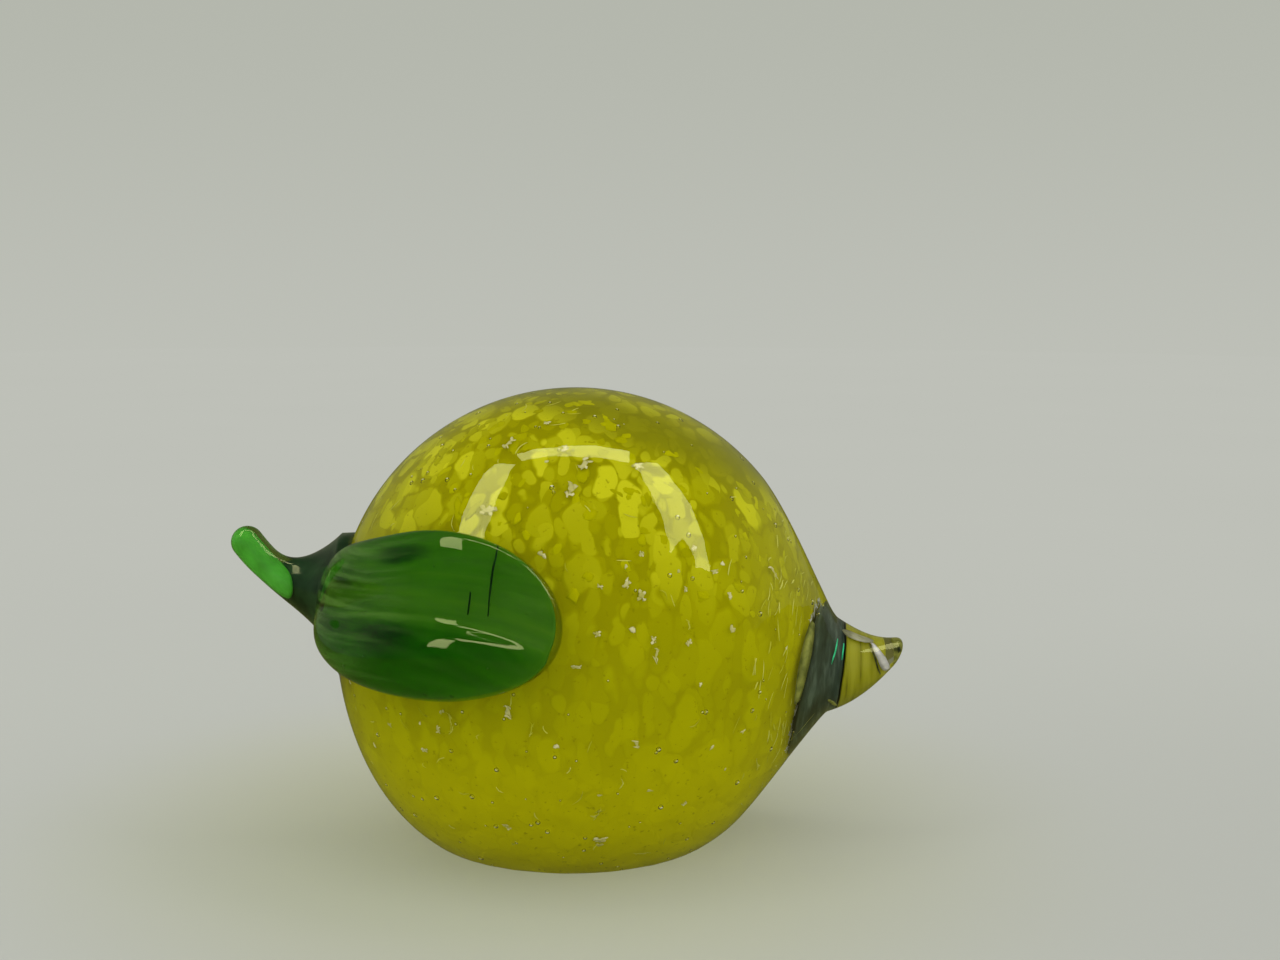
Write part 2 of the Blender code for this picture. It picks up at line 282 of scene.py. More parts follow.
class NodeSheet:
    """The nodes of a material or the world, added and linked in few words."""

    def __init__(self, owner: Material | bpy.types.World) -> None:
        """Starts an empty sheet.

        Args:
            owner: the material or world that the nodes are for.
        """
        owner.use_nodes = True
        owner.node_tree.nodes.clear()
        self.owner = owner

    def node(self, kind: str, links: dict | None = None, **settings: object) -> bpy.types.Node:
        """Adds a node.

        Args:
            kind: the node's type name, after ShaderNode.
            links: socket name or number to an output socket, or to a constant.
            settings: attributes of the node to set.

        Returns:
            The new node.
        """
        tree = self.owner.node_tree
        node = tree.nodes.new("ShaderNode" + kind)
        for key, value in settings.items():
            setattr(node, key, value)
        for key, value in (links or {}).items():
            socket = node.inputs[key]
            if isinstance(value, Socket):
                tree.links.new(value, socket)
            else:
                socket.default_value = (*value, 1.0) if socket.type == "RGBA" else value
        return node

    def first(self, kind: str, links: dict, **settings: object) -> Socket:
        """Adds a node and returns its first output."""
        return self.node(kind, links, **settings).outputs[0]

    def place(self) -> Socket:
        """Returns the place on the object."""
        return self.node("TexCoord").outputs["Object"]

    def carried(self, name: str, output: str = "Fac") -> Socket:
        """Returns a value that the mesh carries under a name."""
        return self.node("Attribute", attribute_name=name).outputs[output]

    def noise(self, place: Socket, scale: float, detail: float, output: str = "Fac") -> Socket:
        """Returns cloudy noise, finer where the scale is larger."""
        return self.node("TexNoise", {"Vector": place, "Scale": scale, "Detail": detail}).outputs[output]

    def drawn(self, place: Socket, scale: Triple, turn: Triple = (0.0, 0.0, 0.0)) -> Socket:
        """Returns a place after turning and stretching it."""
        return self.first("Mapping", {"Vector": place, "Rotation": turn, "Scale": scale})

    def ramp(self, factor: Socket, stops: tuple[tuple[float, Colour], ...]) -> Socket:
        """Adds a colour ramp.

        Args:
            factor: what drives it.
            stops: (position, colour) from low to high.

        Returns:
            Its colour output.
        """
        node = self.node("ValToRGB", {0: factor})
        elements = node.color_ramp.elements
        for element, (position, colour) in zip(elements, (stops[0], stops[-1])):
            element.position = position
            element.color = (*colour, 1.0)
        for position, colour in stops[1:-1]:
            elements.new(position).color = (*colour, 1.0)
        return node.outputs["Color"]

    def rise(self, value: Socket, low: float, high: float) -> Socket:
        """Returns a smooth rise from 0 where the value is low to 1 where it is high."""
        ends = {"Value": value, "From Min": low, "From Max": high}
        return self.first("MapRange", ends, interpolation_type="SMOOTHSTEP")

    def maths(self, kind: str, first: object, second: object = 0.0) -> Socket:
        """Returns one sum, product or comparison of two values."""
        return self.first("Math", {0: first, 1: second}, operation=kind)

    def times(self, first: object, second: object) -> Socket:
        """Returns the product of two values."""
        return self.maths("MULTIPLY", first, second)

    def line(self, value: Socket, slope: float, start: float) -> Socket:
        """Returns a value times a slope, plus a start."""
        return self.maths("ADD", self.times(value, slope), start)

    def swing(self, value: Socket, amount: float) -> Socket:
        """Returns how far a noise strays from its middle, times an amount."""
        return self.times(self.maths("SUBTRACT", value, 0.5), amount)

    def vectors(self, kind: str, first: Socket, second: object = (0.0, 0.0, 0.0), output: int = 0) -> Socket:
        """Returns a sum, product or measure of vectors; output 1 is a measure."""
        return self.node("VectorMath", {0: first, 1: second}, operation=kind).outputs[output]

    def mix(self, factor: object, first: object, second: object) -> Socket:
        """Returns a mixture of two colours."""
        return self.node("Mix", {0: factor, 6: first, 7: second}, data_type="RGBA").outputs[2]

    def bump(self, height: Socket, strength: float, distance: float) -> Socket:
        """Returns the surface's slope under a relief."""
        return self.first("Bump", {"Height": height, "Strength": strength, "Distance": distance})

    def clear(self) -> Socket:
        """Returns a shader that light passes straight through."""
        return self.first("BsdfTransparent", {"Color": WHITE})

    def glow(self, colour: object, strength: object = 1.0) -> Socket:
        """Returns an even glow."""
        return self.first("Emission", {"Color": colour, "Strength": strength})

    def solid(self, colour: Socket, roughness: float, gloss: float, **more: Socket) -> Socket:
        """Returns a solid coloured surface."""
        looks = {"Base Color": colour, "Roughness": roughness, "Specular IOR Level": gloss}
        return self.first("BsdfPrincipled", looks | more)

    def layer(self, cover: Socket, below: Socket, above: Socket) -> Socket:
        """Returns a shader with another laid over it."""
        return self.first("MixShader", {0: cover, 1: below, 2: above})

    def close(self, surface: Socket, **more: Socket) -> Material:
        """Adds the output and returns the material."""
        self.node("OutputMaterial", {"Surface": surface} | more)
        return self.owner


def material_sheet(name: str) -> NodeSheet:
    """Returns the empty sheet of a new material."""
    return NodeSheet(bpy.data.materials.new(name))


@dataclass(frozen=True)
class GlassFinish:
    """Solid glass, coloured in its depth; soft light passes straight through it."""

    name: str
    ior: float = GLASS_IOR
    roughness: float = 0.0
    absorbed: Colour | None = None
    density: float = 0.0
    ripple: float = 0.0
    ripple_scale: float = 300.0
    ripple_height: float = 0.001

    def build(self) -> Material:
        """Returns the material: refracting for the view, clear for soft light and shadows."""
        sheet = material_sheet(self.name)
        looks = {"Color": WHITE, "Roughness": self.roughness, "IOR": self.ior}
        if self.ripple > 0.0:
            waves = sheet.noise(sheet.place(), self.ripple_scale, 1.0)
            looks["Normal"] = sheet.bump(waves, self.ripple, self.ripple_height)
        glass = sheet.first("BsdfGlass", looks)
        clear = sheet.clear()
        path = sheet.node("LightPath").outputs
        soft = sheet.layer(path["Is Diffuse Ray"], glass, clear)
        shade = sheet.layer(path["Is Shadow Ray"], soft, clear)
        if self.absorbed is None:
            return sheet.close(shade)
        depth = sheet.first("VolumeAbsorption", {"Color": self.absorbed, "Density": self.density})
        return sheet.close(shade, Volume=depth)


@dataclass(frozen=True)
class FritFinish:
    """Melted yellow chips on an olive ground, mottled in rounded patches; dark green painted shade inside.

    Most spans are where a smooth rise begins and ends. Those named patch_tones and quiet hold the slope and
    start of a line, and finer holds how much finer the small patches are, and how strong.
    """

    name: str
    ground: Colour = (0.285, 0.270, 0.0)
    middle: Colour = (0.350, 0.338, 0.0)
    chip: Colour = (0.455, 0.445, 0.0)
    bright: Colour = (0.590, 0.580, 0.010)
    # Painted light: the brighter yellow that the layer is given low down
    low: Colour = (0.590, 0.545, 0.0)
    speck: Colour = (0.220, 0.205, 0.0)
    # Painted shade: the dark green of the layer's inside, where it lies in shade
    inner: Colour = (0.045, 0.085, 0.045)
    # Painted shade: the darker colour of a band on one side of the layer
    painted_shade_colour: Colour = (0.220, 0.215, 0.004)
    stops: Triple = (0.05, 0.45, 0.90)
    patch_scale: float = 205.0
    patch_edge: Span = (0.62, 0.44)
    patch_tones: Span = (0.6, 0.4)
    finer: Span = (1.8, 0.75)
    slant: Triple = (0.0, 0.6, 0.5)
    stretch: Triple = (1.30, 0.85, 0.65)
    shove_scale: float = 150.0
    shove: float = 0.0055
    cloud_scale: float = 48.0
    cloud: float = 0.7
    upper_heights: Span = (0.034, 0.062)
    quiet: Span = (0.44, 0.24)
    # The band of painted shade: the height of the point it lies round, where it rises and falls, how strong
    # it is
    painted_shade_height: float = 0.0352
    painted_shade_start: Span = (0.0245, 0.0300)
    painted_shade_end: Span = (0.0312, 0.0335)
    painted_shade_cover: float = 0.85
    # The painted light low down: the heights over which it fades out upwards, and how strong it is
    painted_light_heights: Span = (0.033, 0.0)
    painted_light_cover: float = 0.9
    speck_scale: float = 1300.0
    speck_edge: Span = (0.36, 0.27)
    speck_cover: float = 0.55
    relief: float = 0.22
    relief_height: float = 0.0006
    roughness: float = 0.6

    def patches(self, sheet: NodeSheet, place: Socket, scale: float) -> Socket:
        """Returns rounded patches of random brightness.

        Args:
            sheet: the material's nodes.
            place: the coordinates.
            scale: patches per metre.

        Returns:
            A value from 0 between patches to 1 in the brightest.
        """
        cells = sheet.node("TexVoronoi", {"Vector": place, "Scale": scale}).outputs
        inside = sheet.rise(cells["Distance"], *self.patch_edge)
        tone = sheet.first("SeparateColor", {0: cells["Color"]})
        return sheet.times(inside, sheet.line(tone, *self.patch_tones))

    def mottle(self, sheet: NodeSheet, place: Socket) -> Socket:
        """Returns large patches with finer ones between them, their outlines shoved about.

        Args:
            sheet: the material's nodes.
            place: the coordinates.

        Returns:
            A value from 0 to 1.
        """
        drift = sheet.noise(place, self.shove_scale, 2.0, "Color")
        shoved = sheet.vectors("MULTIPLY", drift, (self.shove,) * 3)
        warped = sheet.vectors("ADD", sheet.drawn(place, self.stretch, self.slant), shoved)
        finer, share = self.finer
        large = self.patches(sheet, warped, self.patch_scale)
        fine = self.patches(sheet, warped, self.patch_scale * finer)
        return sheet.maths("MAXIMUM", large, sheet.times(fine, share))

    def tones(self, sheet: NodeSheet, value: Socket, top: Colour) -> Socket:
        """Returns the colours from the ground's to the given one."""
        return sheet.ramp(value, tuple(zip(self.stops, (self.ground, self.middle, top))))

    def painted_shade_share(self, sheet: NodeSheet, place: Socket) -> Socket:
        """Returns how much painted shade the shaded side puts on a place.

        Args:
            sheet: the material's nodes.
            place: the coordinates.

        Returns:
            A value from 0 to 1.
        """
        from_centre = sheet.vectors("ADD", place, (0.0, 0.0, -self.painted_shade_height))
        toward = sheet.vectors("DOT_PRODUCT", from_centre, tuple(PAINTED_SHADE_SIDE), output=1)
        cover = sheet.times(sheet.rise(toward, *self.painted_shade_start), self.painted_shade_cover)
        return sheet.times(cover, sheet.maths("SUBTRACT", 1.0, sheet.rise(toward, *self.painted_shade_end)))

    def build(self) -> Material:
        """Returns the material, from patches, a slow drift and fine specks, with painted light and shade laid
        over them.
        """
        sheet = material_sheet(self.name)
        place = sheet.place()
        both = self.mottle(sheet, place)
        body = sheet.maths("ADD", both, sheet.swing(sheet.noise(place, self.cloud_scale, 1.0), self.cloud))
        height = sheet.node("SeparateXYZ", {0: place}).outputs["Z"]
        quiet = self.tones(sheet, sheet.line(body, *self.quiet), self.chip)
        lively = self.tones(sheet, body, self.bright)
        colour = sheet.mix(sheet.rise(height, *self.upper_heights), quiet, lively)
        # Painted shade: a darker band on one side
        colour = sheet.mix(self.painted_shade_share(sheet, place), colour, self.painted_shade_colour)
        # Painted light: brighter yellow low down
        low = sheet.times(sheet.rise(height, *self.painted_light_heights), self.painted_light_cover)
        colour = sheet.mix(low, colour, self.low)
        specks = sheet.rise(sheet.noise(place, self.speck_scale, 2.0), *self.speck_edge)
        colour = sheet.mix(sheet.times(specks, self.speck_cover), colour, self.speck)
        # Painted shade: dark green on the layer's inside
        colour = sheet.mix(sheet.carried("inside"), colour, self.inner)
        normal = sheet.bump(both, self.relief, self.relief_height)
        return sheet.close(sheet.solid(colour, self.roughness, 0.0, Normal=normal))


@dataclass(frozen=True)
class FlakeFinish:
    """Small solid flakes, each in its own tone between two colours."""

    name: str
    dark: Colour
    light: Colour
    roughness: float = 0.45
    gloss: float = 0.0
    mottle_scale: float = 700.0
    mottle: float = 0.35

    def build(self) -> Material:
        """Returns the material, from the mesh's tones and a slow mottling."""
        sheet = material_sheet(self.name)
        mottle = sheet.swing(sheet.noise(sheet.place(), self.mottle_scale, 2.0), self.mottle)
        share = sheet.maths("ADD", sheet.carried("tone"), mottle)
        colour = sheet.ramp(share, ((0.0, self.dark), (1.0, self.light)))
        return sheet.close(sheet.solid(colour, self.roughness, self.gloss))


@dataclass(frozen=True)
class VeilFinish:
    """A milky film inside glass: see-through in streaks."""

    name: str
    tint: Colour
    streak: Colour
    scale: Triple
    cover: float
    fade: Span

    def build(self) -> Material:
        """Returns the material, from noise that is stretched along the mesh's own run."""
        sheet = material_sheet(self.name)
        wisps = sheet.noise(sheet.drawn(sheet.carried("run", "Vector"), self.scale), 1.0, 4.0)
        dense = sheet.times(sheet.rise(wisps, *self.fade), sheet.carried("tone"))
        film = sheet.first("BsdfDiffuse", {"Color": sheet.mix(wisps, self.tint, self.streak)})
        return sheet.close(sheet.layer(sheet.times(dense, self.cover), sheet.clear(), film))


@dataclass(frozen=True)
class StreakFinish:
    """Coloured glass drawn out in streaks."""

    name: str
    colours: tuple[tuple[float, Colour], ...]
    fineness: float = 900.0
    grain: Triple = (0.08, 1.0, 1.0)
    turn: float = 0.0
    roughness: float = 0.4
    gloss: float = 0.2

    def wisps(self, sheet: NodeSheet, place: Socket) -> Socket:
        """Returns noise that is stretched one way."""
        return sheet.noise(sheet.drawn(place, self.grain, (0.0, self.turn, 0.0)), self.fineness, 3.0)

    def build(self) -> Material:
        """Returns the material."""
        sheet = material_sheet(self.name)
        colour = sheet.ramp(self.wisps(sheet, sheet.place()), self.colours)
        return sheet.close(sheet.solid(colour, self.roughness, self.gloss))


@dataclass(frozen=True)
class BedFinish(StreakFinish):
    """Streaked glass along the mesh's own run, even towards its tip, with darker places."""

    even: Colour = (0.068, 0.196, 0.0)
    shaded: Colour = (0.0, 0.055, 0.0)
    shade_fray: float = 0.6
    shade_edge: Span = (0.25, 0.90)
    shade_cover: float = 0.92

    def build(self) -> Material:
        """Returns the material, from the mesh's run, tones and shades."""
        sheet = material_sheet(self.name)
        wisps = self.wisps(sheet, sheet.carried("run", "Vector"))
        colour = sheet.mix(sheet.carried("tone"), self.even, sheet.ramp(wisps, self.colours))
        patchy = sheet.maths("ADD", sheet.carried("shade"), sheet.swing(wisps, self.shade_fray))
        cover = sheet.times(sheet.rise(patchy, *self.shade_edge), self.shade_cover)
        return sheet.close(sheet.solid(sheet.mix(cover, colour, self.shaded), self.roughness, self.gloss))


@dataclass
class LemonForm:
    """The lemon's own form, with the CAD model's sizes at a finer step."""

    body_radius: float = 0.0406
    casing_thickness: float = 0.0064
    frit_thickness: float = 0.0015
    base_glass: float = 0.0010
    gap: float = 0.0003
    settle_power: float = 1.9
    settle_root: float = 2.9
    base_lean: float = 0.0006
    axis_tilt: float = radians(9.1)
    neck_radius: float = 0.0080
    neck_inset: float = 0.0006
    neck_fillet: float = 0.0025
    fillet_reach: float = 0.8
    fillet_pull: float = 0.6
    fillet_steps: int = 5
    frit_ring_radius: float = 0.0068
    shoulder_angle: float = radians(48.6)
    nub_length: float = 0.0162
    nub_taper_length: float = 0.0125
    nub_taper_angle: float = radians(26.8)
    nub_tip_radius: float = 0.00285
    nub_lift: float = 0.0050
    shoulder_pull: float = 0.30
    waist_pull: float = 0.08
    flank_steps: int = 26
    taper_steps: int = 14
    tip_steps: int = 10

    @property
    def centre_height(self) -> float:
        """Height of the body's centre over the base."""
        return self.body_radius - self.casing_thickness + self.base_glass

    @property
    def nub_reach(self) -> float:
        """Distance from the body's centre to the nub's tip."""
        return self.body_radius + self.nub_length

    @property
    def frit_radius(self) -> float:
        """Outer radius of the yellow layer."""
        return self.body_radius - self.casing_thickness - self.gap

    @property
    def ring_angle(self) -> float:
        """Angle from the nub's axis to the yellow layer's open ring."""
        return asin(self.frit_ring_radius / self.frit_radius)

    def settle(self, point: Vector) -> Vector:
        """Moves a point as the soft glass did: wider low down, leaning a little towards the stem.

        Args:
            point: the point, over the table.

        Returns:
            Its new place.
        """
        drop = min(max(self.centre_height - point.z, 0.0), self.centre_height)
        depth = drop / self.body_radius
        widening = (1.0 - depth**self.settle_power) ** (1.0 / self.settle_root) / sqrt(1.0 - depth**2)
        lean = self.base_lean * (drop / self.centre_height) ** 2
        return Vector((point.x * widening - lean, point.y * widening, point.z))

    def raise_and_settle(self, point: Vector) -> Vector:
        """Returns the place on the table of a point given from the body's centre."""
        return self.settle(point + Vector((0.0, 0.0, self.centre_height)))

    def lay_down(self, point: Vector) -> Vector:
        """Tilts the nub down and lifts its tip.

        Args:
            point: a point of the form before it is laid down, with its axis level.

        Returns:
            Its place on the table.
        """
        start = self.nub_reach - self.nub_taper_length
        bend = max(0.0, (point.x - start) / (self.nub_reach - start))
        laid = Matrix.Rotation(self.axis_tilt, 3, "Y") @ point
        laid.z += self.nub_lift * bend**2
        return self.raise_and_settle(laid)

    def nub_profile(self) -> list[Vector]:
        """Returns the outer profile from the shoulder to the nub's tip."""
        tip_centre = Vector((self.nub_reach - self.nub_tip_radius, 0.0))
        slope = pi / 2.0 - self.nub_taper_angle
        angles = [blend(slope, 0.0, step / self.tip_steps) for step in range(self.tip_steps + 1)]
        tip = [tip_centre + bearing(angle) * self.nub_tip_radius for angle in angles]
        touch = tip[0]
        waist_along = self.nub_reach - self.nub_taper_length
        waist = Vector((waist_along, touch.y + (touch.x - waist_along) * tan(self.nub_taper_angle)))
        shoulder = bearing(self.shoulder_angle) * self.body_radius
        span = (waist - shoulder).length
        leaving = Vector((sin(self.shoulder_angle), -cos(self.shoulder_angle))) * span * self.shoulder_pull
        arriving = bearing(-self.nub_taper_angle) * span * self.waist_pull
        flank = bezier(shoulder, shoulder + leaving, waist - arriving, waist, self.flank_steps)
        taper = [blend(waist, touch, step / self.taper_steps) for step in range(1, self.taper_steps)]
        return flank + taper + tip

    def layer_profile(self, radius: float, neck: float, first_angle: float, steps: int) -> list[Vector]:
        """Returns a layer's profile from near the nub, round the body and along the neck.

        Args:
            radius: the layer's radius.
            neck: its radius in the neck at the stem end.
            first_angle: the angle at which it begins, from the nub's axis.
            steps: how many steps its round part has.

        Returns:
            The points, as (along, out).
        """
        fillet_angle = pi - asin((neck + self.neck_fillet) / radius)
        round_part = arc(radius, first_angle, fillet_angle, steps)
        start = round_part[-1]
        corner = Vector((-sqrt(radius**2 - neck**2), neck))
        end = Vector((-sqrt(self.body_radius**2 - neck**2) + self.neck_inset, neck))
        fillet_along = max(corner.x - self.neck_fillet, blend(corner.x, end.x, self.fillet_reach))
        fillet_end = Vector((fillet_along, neck))
        leaving, arriving = (blend(point, corner, self.fillet_pull) for point in (start, fillet_end))
        return round_part[:-1] + bezier(start, leaving, arriving, fillet_end, self.fillet_steps) + [end]

    @staticmethod
    def turn(points: list[Vector], closed: bool, segments: int) -> Mesh:
        """Turns a profile about the lemon's long axis.

        Args:
            points: the profile, as (along, out).
            closed: whether the last point joins the first, which makes a ring.
            segments: how many steps the turn has.

        Returns:
            The closed mesh, with its faces outwards.
        """
        mesh = bmesh.new()
        verts = [mesh.verts.new((point.x, 0.0, point.y)) for point in points]
        pairs = list(zip(verts, verts[1:]))
        if closed:
            pairs.append((verts[-1], verts[0]))
        edges = [mesh.edges.new(pair) for pair in pairs]
        circle = {"cent": (0.0, 0.0, 0.0), "axis": NUB_WAY, "angle": 2.0 * pi, "steps": segments}
        bmesh.ops.spin(mesh, geom=verts + edges, use_merge=True, **circle)
        bmesh.ops.remove_doubles(mesh, verts=mesh.verts, dist=MERGE_DISTANCE)
        return face_outwards(mesh)

    def seen_on_layer(self, right: float, up: float) -> Vector:
        """Returns the direction of the spot on the yellow layer that shows at a place of the front view.

        Args:
            right: how far right of the body's middle it is seen.
            up: how far above the middle it is seen.

        Returns:
            The direction from the centre, in the level form, after the glass has bent the line of sight.
        """
        slant = atan2(sqrt(right**2 + up**2), VIEW_DISTANCE)
        reach = VIEW_DISTANCE * sin(slant)
        entry = asin(reach / self.body_radius)
        bent = asin(reach / (GLASS_IOR * self.body_radius))
        landing = asin(reach / (GLASS_IOR * self.frit_radius))
        turn = entry - bent + landing - slant
        sideways = (Vector((right, 0.0, 0.0)) + VIEW_UP * up).normalized()
        seen = VIEW_BACK * cos(turn) + sideways * sin(turn)
        return Matrix.Rotation(-self.axis_tilt, 3, "Y") @ seen


class Scatter:
    """One mesh of many small balls, each a copy of the first in another shape."""

    def __init__(self, ball: Mesh, toned: bool) -> None:
        """Starts the mesh.

        Args:
            ball: the ball to copy, which is freed.
            toned: whether each copy carries a tone of its own.
        """
        ball.verts.index_update()
        self.points = [vert.co.copy() for vert in ball.verts]
        self.faces = [[vert.index for vert in face.verts] for face in ball.faces]
        ball.free()
        self.mesh = bmesh.new()
        self.tone = self.mesh.verts.layers.float.new("tone") if toned else None

    @classmethod
    def of_ovals(cls) -> "Scatter":
        """Returns a scatter of toned balls with few faces, for flakes."""
        ball = bmesh.new()
        bmesh.ops.create_uvsphere(ball, u_segments=8, v_segments=5, radius=1.0)
        return cls(ball, True)

    @classmethod
    def of_bubbles(cls) -> "Scatter":
        """Returns a scatter of even balls."""
        ball = bmesh.new()
        bmesh.ops.create_icosphere(ball, subdivisions=2, radius=1.0)
        return cls(ball, False)

    def press(self, places: list[Vector], tone: float = 0.0) -> None:
        """Adds one copy.

        Args:
            places: where each of the ball's points goes.
            tone: the copy's tone.
        """
        verts = [self.mesh.verts.new(place) for place in places]
        for face in self.faces:
            self.mesh.faces.new([verts[index] for index in face])
        if self.tone is not None:
            for vert in verts:
                vert[self.tone] = tone

    def add_ball(self, centre: Vector, radius: float) -> None:
        """Adds one round copy."""
        self.press([centre + point * radius for point in self.points])


@dataclass
class ClearBody:
    """The solid clear glass: casing, core and drawn-out nub in one piece."""

    form: LemonForm
    segments: int = 144
    steps: int = 80
    pinch_span: Span = (0.92, 1.12)
    pinch: float = 0.00035
    pinch_scale: Span = (90.0, 230.0)
    pinch_fade: float = 0.003
    sharp_angle: float = radians(40.0)
    finish: GlassFinish = GlassFinish("clear_glass", absorbed=(0.80, 0.93, 0.55), density=3.0, ripple=0.03)

    def pinched(self, point: Vector) -> Vector:
        """Moves a point as the tools did that drew the nub out.

        Args:
            point: a point of the level form.

        Returns:
            Its new place.
        """
        near, far = self.pinch_span
        share = soft_step(self.form.body_radius * near, self.form.body_radius * far, point.x)
        outward = Vector((0.0, point.y, point.z))
        if share <= 0.0 or outward.length <= 0.0:
            return point
        along, around = self.pinch_scale
        seat = Vector((point.x * along, point.y * around, point.z * around))
        size = min(1.0, outward.length / self.pinch_fade)
        return point + outward.normalized() * (self.pinch * share * size * noise.noise(seat))

    def mesh(self) -> Mesh:
        """Returns the lemon's outside, pinched a little at the nub, and cut flat below."""
        form = self.form
        points = arc(form.body_radius, pi, form.shoulder_angle, self.steps)[:-1] + form.nub_profile()
        for end in (points[0], points[-1]):
            end.y = 0.0
        mesh = moved(form.turn(points, False, self.segments), self.pinched)
        moved(mesh, form.lay_down)
        table = {"plane_co": (0.0, 0.0, 0.0), "plane_no": -UP, "dist": MERGE_DISTANCE}
        cut = bmesh.ops.bisect_plane(
            mesh, geom=mesh.verts[:] + mesh.edges[:] + mesh.faces[:], clear_outer=True, **table
        )
        rim = [item for item in cut["geom_cut"] if isinstance(item, bmesh.types.BMEdge)]
        bmesh.ops.edgeloop_fill(mesh, edges=rim)
        return face_outwards(mesh)

    def build(self) -> None:
        """Builds and ties the clear body."""
        item = fit_piece(
            "clear_body", self.mesh(), self.finish.build(), Slot.CLEAR, "clear_casing", "core_gather"
        )
        item.data.set_sharp_from_angle(angle=self.sharp_angle)


@dataclass
class FritLayer:
    """The thin yellow layer, with a lumpy outside and a ragged edge round the nub."""

    form: LemonForm
    segments: int = 200
    steps: int = 96
    lump: float = 0.00022
    lump_scale: float = 240.0
    rag: float = radians(1.2)
    rag_scales: Span = (3.0, 11.0)
    fine_rag: float = 0.6
    rag_reach: float = radians(25.0)
    widening: float = radians(2.4)
    off_centre: float = radians(2.4)
    off_turn: float = radians(-90.0)
    dip: float = radians(6.8)
    dip_power: float = 6.0
    lip_share: float = 0.66
    inside_end: float = 0.9
    round_end: float = 0.97

    def ragged(self, turn: float) -> float:
        """Returns how far the layer's edge strays from its ring.

        Args:
            turn: the place round the axis.

        Returns:
            The angle, further from the nub where it is more.
        """
        seat = Vector((cos(turn), sin(turn), 0.0))
        coarse, fine = (noise.noise(seat * scale) for scale in self.rag_scales)
        wander = self.rag * (coarse + fine * self.fine_rag)
        lower = cos(turn - self.off_turn)
        return wander + self.widening + self.off_centre * lower + self.dip * max(0.0, lower) ** self.dip_power

    def mesh(self) -> Mesh:
        """Returns the layer: a closed ring of two skins, open at the nub, narrowed at the neck."""
        form = self.form
        neck = form.neck_radius - form.gap
        outside = form.layer_profile(form.frit_radius, neck, form.ring_angle, self.steps)
        inside = form.layer_profile(
            form.frit_radius - form.frit_thickness,
            neck - form.frit_thickness,
            form.ring_angle * self.lip_share,
            self.steps // 2,
        )
        mesh = form.turn(outside + inside[::-1], True, self.segments)
        depth = mesh.verts.layers.float.new("inside")
        middle = form.frit_radius - form.frit_thickness / 2.0
        for vert in mesh.verts:
            point = vert.co.copy()
            radius = point.length
            angle = atan2(sqrt(point.y**2 + point.z**2), point.x)
            turn = atan2(point.z, point.y)
            near = 1.0 - soft_step(form.ring_angle, form.ring_angle + self.rag_reach, angle)
            angle += near * self.ragged(turn)
            if radius > middle:
                radius += self.lump * noise.fractal(point * self.lump_scale, 0.6, 2.0, 3)
            # The inner skin, short of the neck, is marked to take painted shade
            elif point.x > -form.frit_radius * self.inside_end:
                vert[depth] = 1.0
            if abs(point.x) < form.body_radius * self.round_end:
                point = off_axis(angle, turn) * radius
            vert.co = form.lay_down(point)
        return mesh

    def build(self) -> None:
        """Builds and ties the yellow layer."""
        fit_piece("frit_shell", self.mesh(), FritFinish("yellow_frit").build(), Slot.FRIT, "frit_layer")


@dataclass(frozen=True)
class Flake:
    """One flake's direction and distance from the centre, size and shape; chance picks how it is ragged."""

    spot: Vector
    radius: float
    length: float
    width: float
    thickness: float
    heading: float
    bow: float
    raggedness: float
    chance: float
    rag_scale: float = 1.6
    bow_middle: float = 0.4

    def places(self, form: LemonForm, points: list[Vector]) -> list[Vector]:
        """Returns where the points of a ball go to make the flake.

        Args:
            form: the lemon's form.
            points: the ball's points.

        Returns:
            The places, in the same order.
        """
        forward = way_at(self.spot, self.heading)
        side = self.spot.cross(forward)
        places = []
        for unit in points:
            seat = Vector((unit.x * self.rag_scale + self.chance, unit.y * self.rag_scale, 0.0))
            edge = 1.0 + self.raggedness * noise.noise(seat)
            along = unit.x * self.length / 2.0 * edge
            across = unit.y * self.width / 2.0 * edge + self.bow * (unit.x**2 - self.bow_middle)
            direction = (self.spot + (forward * along + side * across) / self.radius).normalized()
            places.append(form.lay_down(direction * (self.radius + unit.z * self.thickness / 2.0)))
        return places


def flake_mesh(form: LemonForm, flakes: Iterable[tuple[Flake, float]]) -> Mesh:
    """Returns one mesh of many flakes.

    Args:
        form: the lemon's form.
        flakes: each flake and its tone.

    Returns:
        The mesh.
    """
    scatter = Scatter.of_ovals()
    for flake, tone in flakes:
        scatter.press(flake.places(form, scatter.points), tone)
    return scatter.mesh


